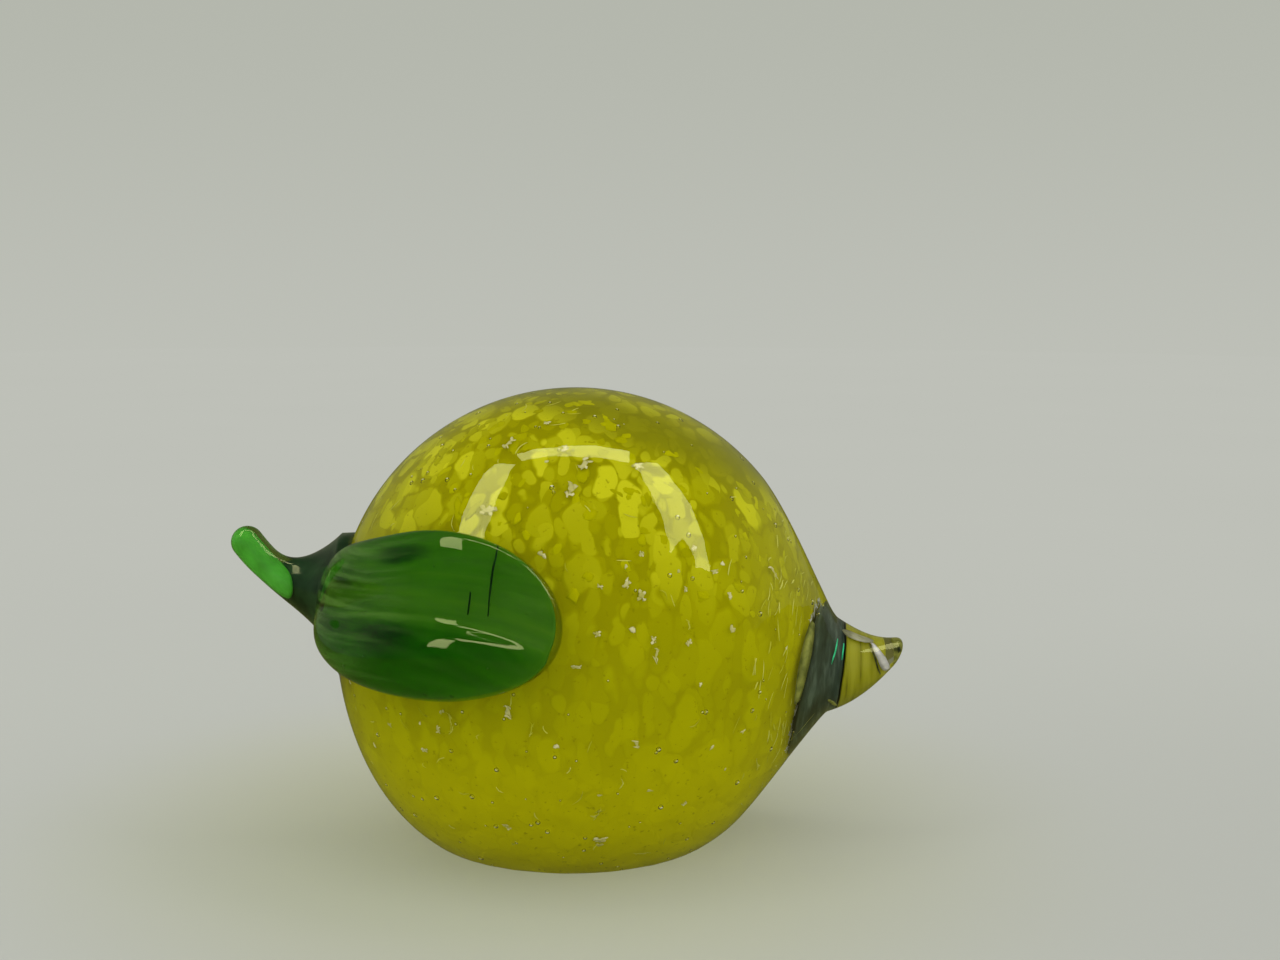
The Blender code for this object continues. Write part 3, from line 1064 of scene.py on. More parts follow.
@dataclass
class FlakeSet:
    """Many small flakes that lie in the glass on the yellow layer, bent to its round."""

    form: LemonForm
    name: str
    finish: FlakeFinish
    slot: Slot
    seed: int
    count: int
    length: Span
    width: Span
    thickness: Span
    depth: Span
    raggedness: float
    bow: float = 0.0
    heading: float = 0.0
    heading_spread: float = 0.6
    reach: Span = (radians(15.0), radians(163.0))
    sparse_below: float = 0.0
    sparse_span: Span = (-0.4, 0.5)
    # How far towards the side of painted shade flakes may lie
    painted_shade_from: float = 0.86
    nub_span: Span = (0.45, 0.85)
    marked: tuple[tuple[float, ...], ...] = ()
    shard_lift: float = 0.0006
    shard_slant: float = 1.2
    shard_thickness: float = 0.00012
    shard_raggedness: float = 1.5

    # The shards that make up a marked fleck: shift along and across, and size, as shares of the fleck's own
    SHARDS = (
        (0.0, 0.0, 0.78), (0.36, 0.20, 0.42), (-0.34, 0.26, 0.46), (0.24, -0.34, 0.38),
        (-0.30, -0.30, 0.34),
    )

    def cluster(self, mark: tuple[float, ...], dice: Random) -> list[Flake]:
        """Returns one marked fleck as a main flake with smaller shards on it.

        Args:
            mark: right, up, length, width (mm, as seen from the front), heading in degrees and bow in mm.
            dice: random numbers.

        Returns:
            Its flakes.
        """
        right, up, length, width, _, bow = (value * MILLIMETRE for value in mark)
        turn = radians(mark[4])
        spot = self.form.seen_on_layer(right, up)
        forward = way_at(spot, turn)
        side = spot.cross(forward)
        radius = self.form.frit_radius + self.shard_lift
        flakes = []
        for shift, drift, share in self.SHARDS:
            offset = forward * (shift * length) + side * (drift * width)
            place = (spot + offset / radius).normalized()
            slant = dice.uniform(-self.shard_slant, self.shard_slant) if shift else 0.0
            size = share * length
            sizes = (size, min(size, width * share), self.shard_thickness)
            chance = dice.random() * 100.0
            flakes.append(Flake(place, radius, *sizes, turn + slant, bow, self.shard_raggedness, chance))
        return flakes

    def spots(self, dice: Random) -> list[Vector]:
        """Returns random directions from the centre, fewer of them low down.

        Args:
            dice: random numbers.

        Returns:
            The directions.
        """
        found = []
        near, far = (cos(angle) for angle in self.reach)
        while len(found) < self.count:
            spot = any_direction(dice)
            keep = dice.random()
            # No flakes on the side that is darkened with painted shade
            if not far < spot.x < near or spot.dot(PAINTED_SHADE_SIDE) > self.painted_shade_from:
                continue
            if keep >= self.sparse_below * (1.0 - soft_step(*self.sparse_span, spot.z)):
                found.append(spot)
        return found

    def turn_at(self, spot: Vector) -> float:
        """Returns the heading that suits a place: slanting over the body, round the axis near the nub.

        Args:
            spot: the direction from the centre.

        Returns:
            The heading, 0 straight up.
        """
        around = ring_heading(spot)
        if around > pi / 2.0:
            around -= pi
        if around < -pi / 2.0:
            around += pi
        return blend(self.heading, around, soft_step(*self.nub_span, spot.x))

    def flakes(self) -> list[Flake]:
        """Returns the random flakes, and then those at marked places."""
        dice = Random(self.seed)
        found = []
        for spot in self.spots(dice):
            radius = self.form.frit_radius + dice.uniform(*self.depth)
            sizes = [dice.uniform(*span) for span in (self.length, self.width, self.thickness)]
            heading = self.turn_at(spot) + dice.gauss(0.0, self.heading_spread)
            bow = self.bow * dice.uniform(-1.0, 1.0)
            found.append(Flake(spot, radius, *sizes, heading, bow, self.raggedness, dice.random() * 100.0))
        for mark in self.marked:
            found += self.cluster(mark, dice)
        return found

    def build(self) -> None:
        """Builds and ties the flakes, each with a tone of its own."""
        dice = Random(self.seed + 1)
        mesh = flake_mesh(self.form, [(flake, dice.random()) for flake in self.flakes()])
        fit_piece(self.name, mesh, self.finish.build(), self.slot)


# Flecks and threads: right, up, length and width as seen from the front (mm), heading
# (degrees) and bow (mm)
MARKED_FLECKS = (
    (-11.5, 31.0, 2.7, 1.0, -10, 0.0), (1.5, 27.5, 2.4, 1.3, 10, 0.1), (-1.0, 23.0, 2.6, 1.3, 0, 0.2),
    (-15.0, 19.5, 2.7, 1.6, 80, 0.2), (-5.0, 34.5, 1.0, 0.7, 60, 0.0), (-2.0, 30.0, 1.3, 1.0, 0, 0.0),
    (11.0, 12.0, 0.8, 0.7, 0, 0.0), (10.5, 27.0, 1.7, 1.1, 60, 0.0), (20.0, 13.0, 0.9, 0.8, 20, 0.0),
    (8.5, 7.0, 1.4, 0.9, 20, 0.2), (11.0, 5.0, 1.6, 1.2, 0, 0.0), (4.0, 6.5, 0.9, 0.5, 90, 0.0),
    (3.5, -1.5, 1.0, 0.8, 60, 0.0), (13.0, -2.5, 1.2, 0.8, -10, 0.0), (13.5, -5.0, 2.2, 0.5, 0, 0.1),
    (19.0, -3.0, 1.0, 0.7, 45, 0.0), (26.0, 5.0, 1.0, 0.7, -20, 0.0), (18.5, 6.0, 0.8, 0.5, 0, 0.0),
    (33.5, 9.0, 2.6, 0.5, -35, 0.2), (0.0, -7.0, 1.5, 0.5, 80, 0.0), (23.5, 9.0, 1.1, 0.6, 80, 0.0),
    (-11.5, -14.5, 2.2, 0.9, -15, 0.2), (-22.5, -14.5, 0.9, 0.4, 50, 0.0), (-23.0, -17.5, 1.3, 0.5, 0, 0.0),
    (-25.0, -21.0, 1.2, 0.6, 80, 0.0), (10.0, -20.0, 1.7, 0.5, -35, 0.0), (4.0, -35.5, 1.6, 1.3, 70, 0.0),
    (-10.5, -33.5, 1.4, 0.8, -40, 0.0), (17.5, -30.0, 0.9, 0.6, 30, 0.0),
)
MARKED_THREADS = (
    (19.0, 0.0, 1.5, 0.35, -15, 0.1), (-21.0, -16.5, 3.6, 0.25, -8, 0.3), (3.5, -31.5, 2.6, 0.22, 10, 0.6),
    (-9.0, -36.0, 1.2, 0.20, 30, 0.4), (-7.5, -17.5, 2.3, 0.20, 0, 0.1), (10.0, -37.5, 2.6, 0.30, 80, 0.1),
)


def frit_chips(form: LemonForm) -> FlakeSet:
    """Returns the loose yellow chips that lie on the yellow layer."""
    finish = FlakeFinish("frit_chip", (0.35, 0.34, 0.0), (0.46, 0.45, 0.0))
    return FlakeSet(
        form, "frit_chips", finish, Slot.FRIT, seed=11, count=300, length=(0.0016, 0.0044),
        width=(0.0010, 0.0021), thickness=(0.00018, 0.00028), depth=(-0.00018, 0.0), raggedness=0.8,
        heading=radians(-35.0), sparse_below=1.0, sparse_span=(0.15, 0.75),
    )


def painted_light_flecks(form: LemonForm) -> FlakeSet:
    """Returns the silvery flecks: painted light, pale flakes where light shows through gaps at the yellow
    layer.
    """
    finish = FlakeFinish("painted_light_fleck", (0.46, 0.43, 0.10), (0.74, 0.69, 0.36))
    return FlakeSet(
        form, "painted_light_flecks", finish, Slot.CLEAR, seed=23, count=56, length=(0.0004, 0.0011),
        width=(0.0003, 0.0008), thickness=(0.00005, 0.00015), depth=(0.0003, 0.0012), raggedness=1.6,
        marked=MARKED_FLECKS,
    )


def pale_threads(form: LemonForm) -> FlakeSet:
    """Returns the pale threads of melted glass."""
    finish = FlakeFinish("pale_thread", (0.45, 0.44, 0.01), (0.62, 0.61, 0.10))
    return FlakeSet(
        form, "pale_threads", finish, Slot.FRIT, seed=29, count=150, length=(0.0008, 0.0034),
        width=(0.00010, 0.00022), thickness=(0.00008, 0.00016), depth=(0.0002, 0.0012), raggedness=0.5,
        bow=0.0006, heading=radians(-30.0), heading_spread=0.7, marked=MARKED_THREADS,
    )


def nub_threads(form: LemonForm) -> FlakeSet:
    """Returns the pale threads drawn round the axis near the nub."""
    finish = FlakeFinish("nub_thread", (0.44, 0.43, 0.01), (0.62, 0.61, 0.10))
    return FlakeSet(
        form, "nub_threads", finish, Slot.FRIT, seed=41, count=150, length=(0.0010, 0.0036),
        width=(0.00012, 0.00035), thickness=(0.00008, 0.00016), depth=(0.0002, 0.0010), raggedness=0.6,
        bow=0.0003, heading_spread=0.3, reach=(radians(12.0), radians(42.0)),
    )


@dataclass
class RingEdge:
    """The silvery shards along the yellow layer's ragged edge."""

    form: LemonForm
    seed: int = 43
    count: int = 190
    stray: Span = (-0.006, 0.016)
    heading_spread: float = 0.5
    depth: Span = (0.0, 0.0003)
    length: Span = (0.0005, 0.0020)
    width: Span = (0.00012, 0.00040)
    thickness: float = 0.00012
    bow: Span = (-0.0002, 0.0002)
    raggedness: float = 1.4

    def shards(self) -> list[tuple[Flake, float]]:
        """Returns each shard and its tone."""
        dice = Random(self.seed)
        layer = FritLayer(self.form)
        found = []
        for _ in range(self.count):
            turn = dice.uniform(-pi, pi)
            spot = off_axis(self.form.ring_angle + layer.ragged(turn) + dice.uniform(*self.stray), turn)
            heading = ring_heading(spot) + dice.gauss(0.0, self.heading_spread)
            radius = self.form.frit_radius + dice.uniform(*self.depth)
            sizes = (dice.uniform(*self.length), dice.uniform(*self.width), self.thickness)
            bow = dice.uniform(*self.bow)
            flake = Flake(spot, radius, *sizes, heading, bow, self.raggedness, dice.random() * 100.0)
            found.append((flake, dice.random()))
        return found

    def build(self) -> None:
        """Builds and ties the shards."""
        finish = FlakeFinish("edge_shard", (0.34, 0.36, 0.16), (0.74, 0.75, 0.62), roughness=0.3, gloss=0.5)
        fit_piece("ring_shards", flake_mesh(self.form, self.shards()), finish.build(), Slot.FRIT)


@dataclass
class SeedBubbles:
    """Seed bubbles caught in the clear glass, each with a painted highlight: a pale flake on it."""

    form: LemonForm
    name: str
    slot: Slot
    seed: int
    count: int
    radius: Span
    depth: Span
    to_nub: bool = False
    nub_spread: float = 0.26
    size_power: float = 1.6
    clearance: float = 0.0004
    glint_lift: float = 0.35
    glint_shape: Triple = (0.55, 0.33, 0.1)

    def places(self) -> list[tuple[Vector, float]]:
        """Returns the centre and radius of each bubble, at random places and depths."""
        dice = Random(self.seed)
        found = []
        for _ in range(self.count):
            spot = any_direction(dice)
            size = blend(*self.radius, dice.random() ** self.size_power)
            distance = self.form.frit_radius + dice.uniform(*self.depth)
            if self.to_nub:
                spot = (NUB_WAY + spot * self.nub_spread).normalized()
            centre = self.form.lay_down(spot * distance)
            if centre.z > size * 2.0 + self.clearance:
                found.append((centre, size))
        return found

    def painted_highlights(self) -> Mesh:
        """Returns the painted highlight on each bubble: a pale flake on its upper outer side."""
        scatter = Scatter.of_ovals()
        dice = Random(self.seed + 1)
        middle = self.form.raise_and_settle(Vector((0.0, 0.0, 0.0)))
        for centre, size in self.places():
            outward = (centre - middle).normalized()
            rise = rise_at(outward)
            spot = centre + outward * size + rise * (self.glint_lift * size)
            ways = (rise.cross(outward), rise, outward)
            across, up, out = (way * (size * share) for way, share in zip(ways, self.glint_shape))
            corners = [spot + across * unit.x + up * unit.y + out * unit.z for unit in scatter.points]
            scatter.press(corners, dice.random())
        return scatter.mesh

    def build(self) -> None:
        """Builds and ties the bubbles and their painted highlights."""
        scatter = Scatter.of_bubbles()
        for centre, size in self.places():
            scatter.add_ball(centre, size)
        skin = GlassFinish("bubble_skin", ior=1.0 / GLASS_IOR)
        fit_piece(self.name, scatter.mesh, skin.build(), self.slot)
        bright = FlakeFinish(self.name + "_painted_highlight", (0.46, 0.46, 0.12), (0.80, 0.79, 0.50), gloss=0.2)
        fit_piece(self.name + "_painted_highlights", self.painted_highlights(), bright.build(), self.slot)


def seed_bubbles(form: LemonForm) -> SeedBubbles:
    """Returns the bubbles over the yellow layer."""
    return SeedBubbles(form, "seed_bubbles", Slot.CLEAR, 31, 360, (0.00018, 0.00048), (0.0009, 0.0054))


def core_bubbles(form: LemonForm) -> SeedBubbles:
    """Returns the bubbles in the core's glass near the nub."""
    return SeedBubbles(form, "core_bubbles", Slot.CORE, 37, 26, (0.00012, 0.00030), (-0.012, 0.006), True)


class NubGlass(Enum):
    """The coloured glasses that are caught in the nub, and its painted shade and painted reflections."""

    # Painted shade: the dark throat, for the shade inside the yellow layer's ring
    THROAT = StreakFinish(
        "nub_throat_painted_shade",
        ((0.35, (0.011, 0.024, 0.015)), (0.52, (0.026, 0.046, 0.031)), (0.66, (0.066, 0.102, 0.066))),
        fineness=520.0,
        grain=(1.0, 0.35, 0.35),
    )
    YELLOW = StreakFinish(
        "nub_yellow_glass",
        ((0.28, (0.10, 0.10, 0.0)), (0.38, (0.24, 0.235, 0.0)), (0.62, (0.32, 0.315, 0.01))),
        grain=(1.0, 0.10, 0.10),
        turn=radians(9.0),
    )
    OLIVE = StreakFinish(
        "nub_olive_glass",
        ((0.35, (0.05, 0.055, 0.01)), (0.50, (0.17, 0.18, 0.02)), (0.65, (0.30, 0.30, 0.05))),
    )
    PALE = StreakFinish("nub_pale_glass", ((0.35, (0.46, 0.45, 0.38)), (0.60, (0.66, 0.64, 0.58))), 600.0)
    DUSK = StreakFinish("nub_dark_glass", ((0.40, (0.02, 0.025, 0.005)), (0.60, (0.07, 0.075, 0.02))))
    # Painted reflection: bright green, for the stem and leaf seen mirrored through the core
    PAINTED_REFLECTION = StreakFinish("nub_painted_reflection", ((0.35, (0.0, 0.30, 0.10)), (0.60, (0.05, 0.75, 0.32))))
    MILKY = StreakFinish("nub_milky_glass", ((0.35, (0.26, 0.26, 0.12)), (0.60, (0.44, 0.43, 0.28))))
    WISP = StreakFinish("nub_wisp_glass", ((0.35, (0.12, 0.14, 0.02)), (0.60, (0.27, 0.29, 0.05))), 600.0)


@dataclass
class NubHeart:
    """What is caught in the nub: a throat of painted shade, a streaked yellow heart, an olive tip and thin
    ribbons.
    """

    form: LemonForm
    bluntness: float = 10.0
    throat_wall: float = 0.0003
    throat_slant: float = 0.0029
    throat_slant_power: float = 4.0
    throat_sag: float = 0.0030
    ribbon_thickness: float = 0.0001
    ribbon_ends: Span = (0.7, 0.4)
    segments: int = 48
    spindle_steps: int = 24
    ribbon_steps: int = 6

    # The yellow heart and the olive tip: start, end, and fullness as a share of the nub's radius
    HEART = (0.0450, 0.0531, 0.80)
    TIP = (0.0547, 0.0564, 0.70)

    # The profile of the throat of painted shade: along the axis, and out from it
    THROAT = (
        (0.0345, 0.0098), (0.0356, 0.0099), (0.0370, 0.0096), (0.0390, 0.0090), (0.0415, 0.0079),
        (0.0435, 0.0069), (0.0448, 0.0061),
    )

    # Thin ribbons: name, glass, width in mm, and points as (mm along, degrees up from the front, share of the
    # nub's radius)
    RIBBONS = (
        ("nub_pale_band", NubGlass.PALE, 1.5, ((50.3, 60, 0.92), (52.4, 15, 0.92), (54.1, -40, 0.90))),
        ("nub_pale_rim", NubGlass.MILKY, 6.2, ((47.4, 56, 0.93), (47.8, 74, 0.93))),
        ("nub_ring_wisp", NubGlass.WISP, 2.6, ((34.7, 50, 0.42), (34.6, 15, 0.50), (34.2, -20, 0.56))),
        ("nub_low_wisp", NubGlass.WISP, 0.7, ((34.0, -48, 0.66), (36.8, -46, 0.70), (39.8, -40, 0.74))),
        ("nub_curl", NubGlass.WISP, 0.7, ((42.8, -34, 0.82), (44.2, -46, 0.86), (45.2, -60, 0.90))),
        ("nub_dark_line", NubGlass.DUSK, 0.3, ((49.7, 56, 0.92), (51.1, 20, 0.92), (52.6, -32, 0.90))),
        ("nub_dark_spot", NubGlass.DUSK, 0.6, ((55.6, 34, 0.85), (55.8, 4, 0.85))),
        # The two glints are painted reflection: green ribbons for the stem and leaf seen through the core
        ("nub_painted_glint_long", NubGlass.PAINTED_REFLECTION, 0.4, ((43.1, 46, 0.80), (42.9, 30, 0.80), (42.3, 12, 0.80))),
        ("nub_painted_glint_short", NubGlass.PAINTED_REFLECTION, 0.28, ((44.7, 44, 0.86), (44.6, 20, 0.86))),
    )

    def outside(self, along: float) -> float:
        """Returns the nub's outer radius at a distance along the axis.

        Args:
            along: the distance from the body's centre.

        Returns:
            The radius, or 0 past the nub.
        """
        points = self.form.nub_profile()
        for first, second in zip(points, points[1:]):
            if first.x <= along <= second.x:
                return blend(first.y, second.y, (along - first.x) / (second.x - first.x))
        return 0.0

    def throat(self) -> Mesh:
        """Returns the funnel of painted shade, a dark solid, from the yellow layer's ring to the heart."""
        outer = [Vector(point) for point in self.THROAT]
        inner = [Vector((along, out - self.throat_wall)) for along, out in reversed(self.THROAT)]
        mesh = self.form.turn(outer + inner, True, self.segments * 2)
        (start, width), (end, _) = self.THROAT[0], self.THROAT[-1]
        for vert in mesh.verts:
            ease = (end - vert.co.x) / (end - start)
            lower = max(0.0, -vert.co.z / width)
            vert.co.x -= self.throat_slant * lower**self.throat_slant_power * ease
            vert.co.z -= self.throat_sag * ease
        return moved(mesh, self.form.lay_down)

    def spindle(self, start: float, end: float, fullness: float) -> Mesh:
        """Returns a blunt heart that follows the nub's outside.

        Args:
            start: where it begins along the axis.
            end: where it ends.
            fullness: its radius as a share of the nub's.

        Returns:
            The closed mesh.
        """
        points = []
        for step in range(self.spindle_steps + 1):
            share = step / self.spindle_steps
            along = blend(start, end, (1.0 - cos(pi * share)) / 2.0)
            roundness = sqrt(max(0.0, 1.0 - abs(2.0 * share - 1.0) ** self.bluntness))
            points.append(Vector((along, self.outside(along) * fullness * roundness)))
        return moved(self.form.turn(points, False, self.segments), self.form.lay_down)

    def ribbon(self, path: tuple[Triple, ...], width: float) -> Mesh:
        """Returns a thin ribbon inside the nub.

        Args:
            path: its points as (mm along, degrees up from the front, share of the nub's radius).
            width: its width along the axis, in mm.

        Returns:
            The closed mesh.
        """
        rows = []
        for first, second in zip(path, path[1:]):
            for step in range(self.ribbon_steps):
                rows.append([blend(a, b, step / self.ribbon_steps) for a, b in zip(first, second)])
        rows.append(path[-1])
        before, after = self.ribbon_ends
        loops = []
        for index, (along, degrees_up, share) in enumerate(rows):
            taper = sqrt(sin(pi * (index + before) / (len(rows) + after)))
            angle = radians(degrees_up)
            loop = []
            for side, lift in ((-1.0, 0.0), (0.0, 1.0), (1.0, 0.0), (0.0, -1.0)):
                place = (along + side * width * taper / 2.0) * MILLIMETRE
                radius = self.outside(place) * share + lift * self.ribbon_thickness / 2.0
                loop.append(self.form.lay_down(Vector((place, -cos(angle) * radius, sin(angle) * radius))))
            loops.append(loop)
        return loft(loops)

    def build(self) -> None:
        """Builds and ties the nub's inner pieces."""
        finishes = {glass: glass.value.build() for glass in NubGlass}
        # The throat is painted shade
        fit_piece("nub_throat", self.throat(), finishes[NubGlass.THROAT], Slot.CORE)
        fit_piece("nub_heart", self.spindle(*self.HEART), finishes[NubGlass.YELLOW], Slot.CORE)
        fit_piece("nub_tip_heart", self.spindle(*self.TIP), finishes[NubGlass.OLIVE], Slot.CORE)
        for name, glass, width, path in self.RIBBONS:
            fit_piece(name, self.ribbon(path, width), finishes[glass], Slot.CORE)


@dataclass
class GlassStem:
    """Green stem: a flared foot on the neck with painted shade, and a thin rod with painted light that bends
    up.
    """

    form: LemonForm
    direction: float = radians(4.9)
    foot_radius: float = 0.0126
    foot_lift: float = 0.12
    foot_flare: float = 0.0164
    flare_power: float = 2.1
    foot_tilt: float = radians(-4.5)
    seat_radius: float = 0.0139
    rod_radius: float = 0.00273
    reach: float = 0.0160
    rise: float = 0.0111
    tilt: float = radians(53.4)
    leaving_angle: float = radians(33.7)
    leaving_pull: float = 0.47
    arriving_pull: float = 0.50
    bite: float = 0.0003
    # The painted light in the rod
    light_start: int = 27
    light_radius: float = 0.0016
    light_swelling: float = 0.0006
    light_drop: float = 0.0003
    light_sag: float = 0.0004
    light_front: float = 0.0017
    light_bluntness: float = 6.0
    light_end: float = 0.3
    # The painted shade in the foot
    dark_start: int = 2
    dark_end: int = 44
    dark_share: float = 0.80
    dark_wide_share: float = 0.95
    dark_wide_power: float = 4.0
    dark_taper_power: float = 3.0
    dark_seat_radius: float = 0.0119
    dark_seat_gap: float = 0.0001
    dark_lift: float = 0.0008
    sides: int = 72
    steps: int = 60
    seat_rings: int = 6
    cap_steps: int = 16

    def stations(self) -> list[tuple[Vector, float, float]]:
        """Returns the rings as (centre, tilt, radius) from the foot outwards, round the tip."""
        body = self.form.body_radius
        outward = stemward(self.direction)
        seat = sqrt(body**2 - self.foot_radius**2)
        foot = outward * blend(seat, body, self.foot_lift)
        tip = outward * blend(seat, body, 0.5) + Vector((-self.reach, 0.0, self.rise))
        run = (tip - foot).length
        leaving = stemward(self.leaving_angle) * run * self.leaving_pull
        forward = stemward(self.tilt)
        centres = bezier(foot, foot + leaving, tip - forward * run * self.arriving_pull, tip, self.steps)
        rings = []
        travel = 0.0
        for index, centre in enumerate(centres):
            if index:
                travel += (centre - centres[index - 1]).length
            tilt = blend(self.foot_tilt, self.tilt, (index / self.steps) ** 2)
            flare = max(0.0, 1.0 - travel / self.foot_flare) ** self.flare_power
            rings.append((centre, tilt, blend(self.rod_radius, self.foot_radius, flare)))
        for step in range(1, self.cap_steps):
            angle = step / self.cap_steps * pi / 2.0
            centre = tip + forward * self.rod_radius * sin(angle)
            rings.append((centre, self.tilt, self.rod_radius * cos(angle)))
        return rings

    def loop(self, centre: Vector, tilt: float, radius: float) -> list[Vector]:
        """Returns the points of one ring, square to the stem's run.

        Args:
            centre: the ring's middle.
            tilt: how far the stem's run tilts up there.
            radius: the ring's radius.

        Returns:
            The points, from the body's centre.
        """
        turn = Matrix.Translation(centre) @ Matrix.Rotation(-pi / 2.0 + tilt, 4, "Y")
        angles = [2.0 * pi * side / self.sides for side in range(self.sides)]
        return [turn @ Vector((radius * cos(angle), radius * sin(angle), 0.0)) for angle in angles]

    def seated(self, stations: list[tuple[Vector, float, float]], seat: float, floor: float) -> Mesh:
        """Returns a form through rings, hollowed below to follow the body.

        Args:
            stations: the rings as (centre, tilt, radius).
            seat: the radius of its underside.
            floor: how far from the body's centre the underside lies.

        Returns:
            The closed mesh, on the table.
        """
        centre, tilt, _ = stations[0]
        loops = []
        for step in range(1, self.seat_rings + 1):
            underside = self.loop(centre, tilt, seat * step / self.seat_rings)
            loops.append([point.normalized() * floor for point in underside])
        for station in stations:
            loops.append([point.normalized() * max(point.length, floor) for point in self.loop(*station)])
        return moved(loft(loops), self.form.raise_and_settle)

    def light(self) -> Mesh:
        """Returns the painted light in the rod, a bright solid, blunt at both ends and nearer the front at
        the foot.
        """
        run = self.stations()[self.light_start : self.steps + self.cap_steps // 2]
        loops = []
        for index, (centre, tilt, _) in enumerate(run):
            share = (index + self.light_end) / len(run)
            roundness = sqrt(1.0 - abs(2.0 * share - 1.0) ** self.light_bluntness)
            near_foot = (1.0 - share) ** 2
            lower = Vector((-sin(tilt), 0.0, -cos(tilt)))
            centre = centre + lower * (self.light_drop + self.light_sag * near_foot)
            centre.y -= self.light_front * near_foot
            radius = (self.light_radius + self.light_swelling * near_foot) * roundness
            loops.append(self.loop(centre, tilt, radius))
        return moved(loft(loops), self.form.raise_and_settle)

    def dark(self) -> Mesh:
        """Returns the painted shade in the foot, a dark solid, drawn out to a point along the rod's upper
        side.
        """
        run = []
        rings = self.stations()[self.dark_start : self.dark_end]
        for index, (centre, tilt, radius) in enumerate(rings, start=self.dark_start):
            share = index / self.dark_end
            upper = Vector((sin(tilt), 0.0, cos(tilt)))
            width = blend(self.dark_share, self.dark_wide_share, (1.0 - share) ** self.dark_wide_power)
            radius *= width * (1.0 - share**self.dark_taper_power)
            run.append((centre + upper * self.dark_lift * share, tilt, radius))
        return self.seated(run, self.dark_seat_radius, self.form.body_radius + self.dark_seat_gap)

    def build(self) -> None:
        """Builds and ties the stem, with the painted light in its rod and the painted shade in its foot."""
        rod = self.seated(self.stations(), self.seat_radius, self.form.body_radius - self.bite)
        green = GlassFinish("stem_green", roughness=0.14, absorbed=(0.35, 0.76, 0.0), density=190.0)
        fit_piece("stem_rod", rod, green.build(), Slot.STEM, "stem")
        # Painted light: the bright green inside the rod
        shades = ((0.35, (0.060, 0.320, 0.022)), (0.62, (0.085, 0.430, 0.036)))
        bright = StreakFinish("stem_painted_light", shades, grain=(0.3, 1.0, 0.3))
        fit_piece("stem_painted_light", self.light(), bright.build(), Slot.STEM)
        # Painted shade: the dark green inside the foot
        shades = ((0.35, (0.006, 0.024, 0.009)), (0.62, (0.020, 0.056, 0.022)))
        fit_piece("stem_painted_shade", self.dark(), StreakFinish("stem_painted_shade", shades, 260.0).build(), Slot.STEM)


@dataclass(frozen=True)
class Film:
    """A film inside the leaf.

    Attributes:
        low: its underside, as a share of the leaf's height.
        high: its top, as a share of the leaf's height.
        reach: how much of the leaf's outline it fills.
        tip_tone: its tone from the middle to the tip.
    """

    low: float
    high: float
    reach: float
    tip_tone: float


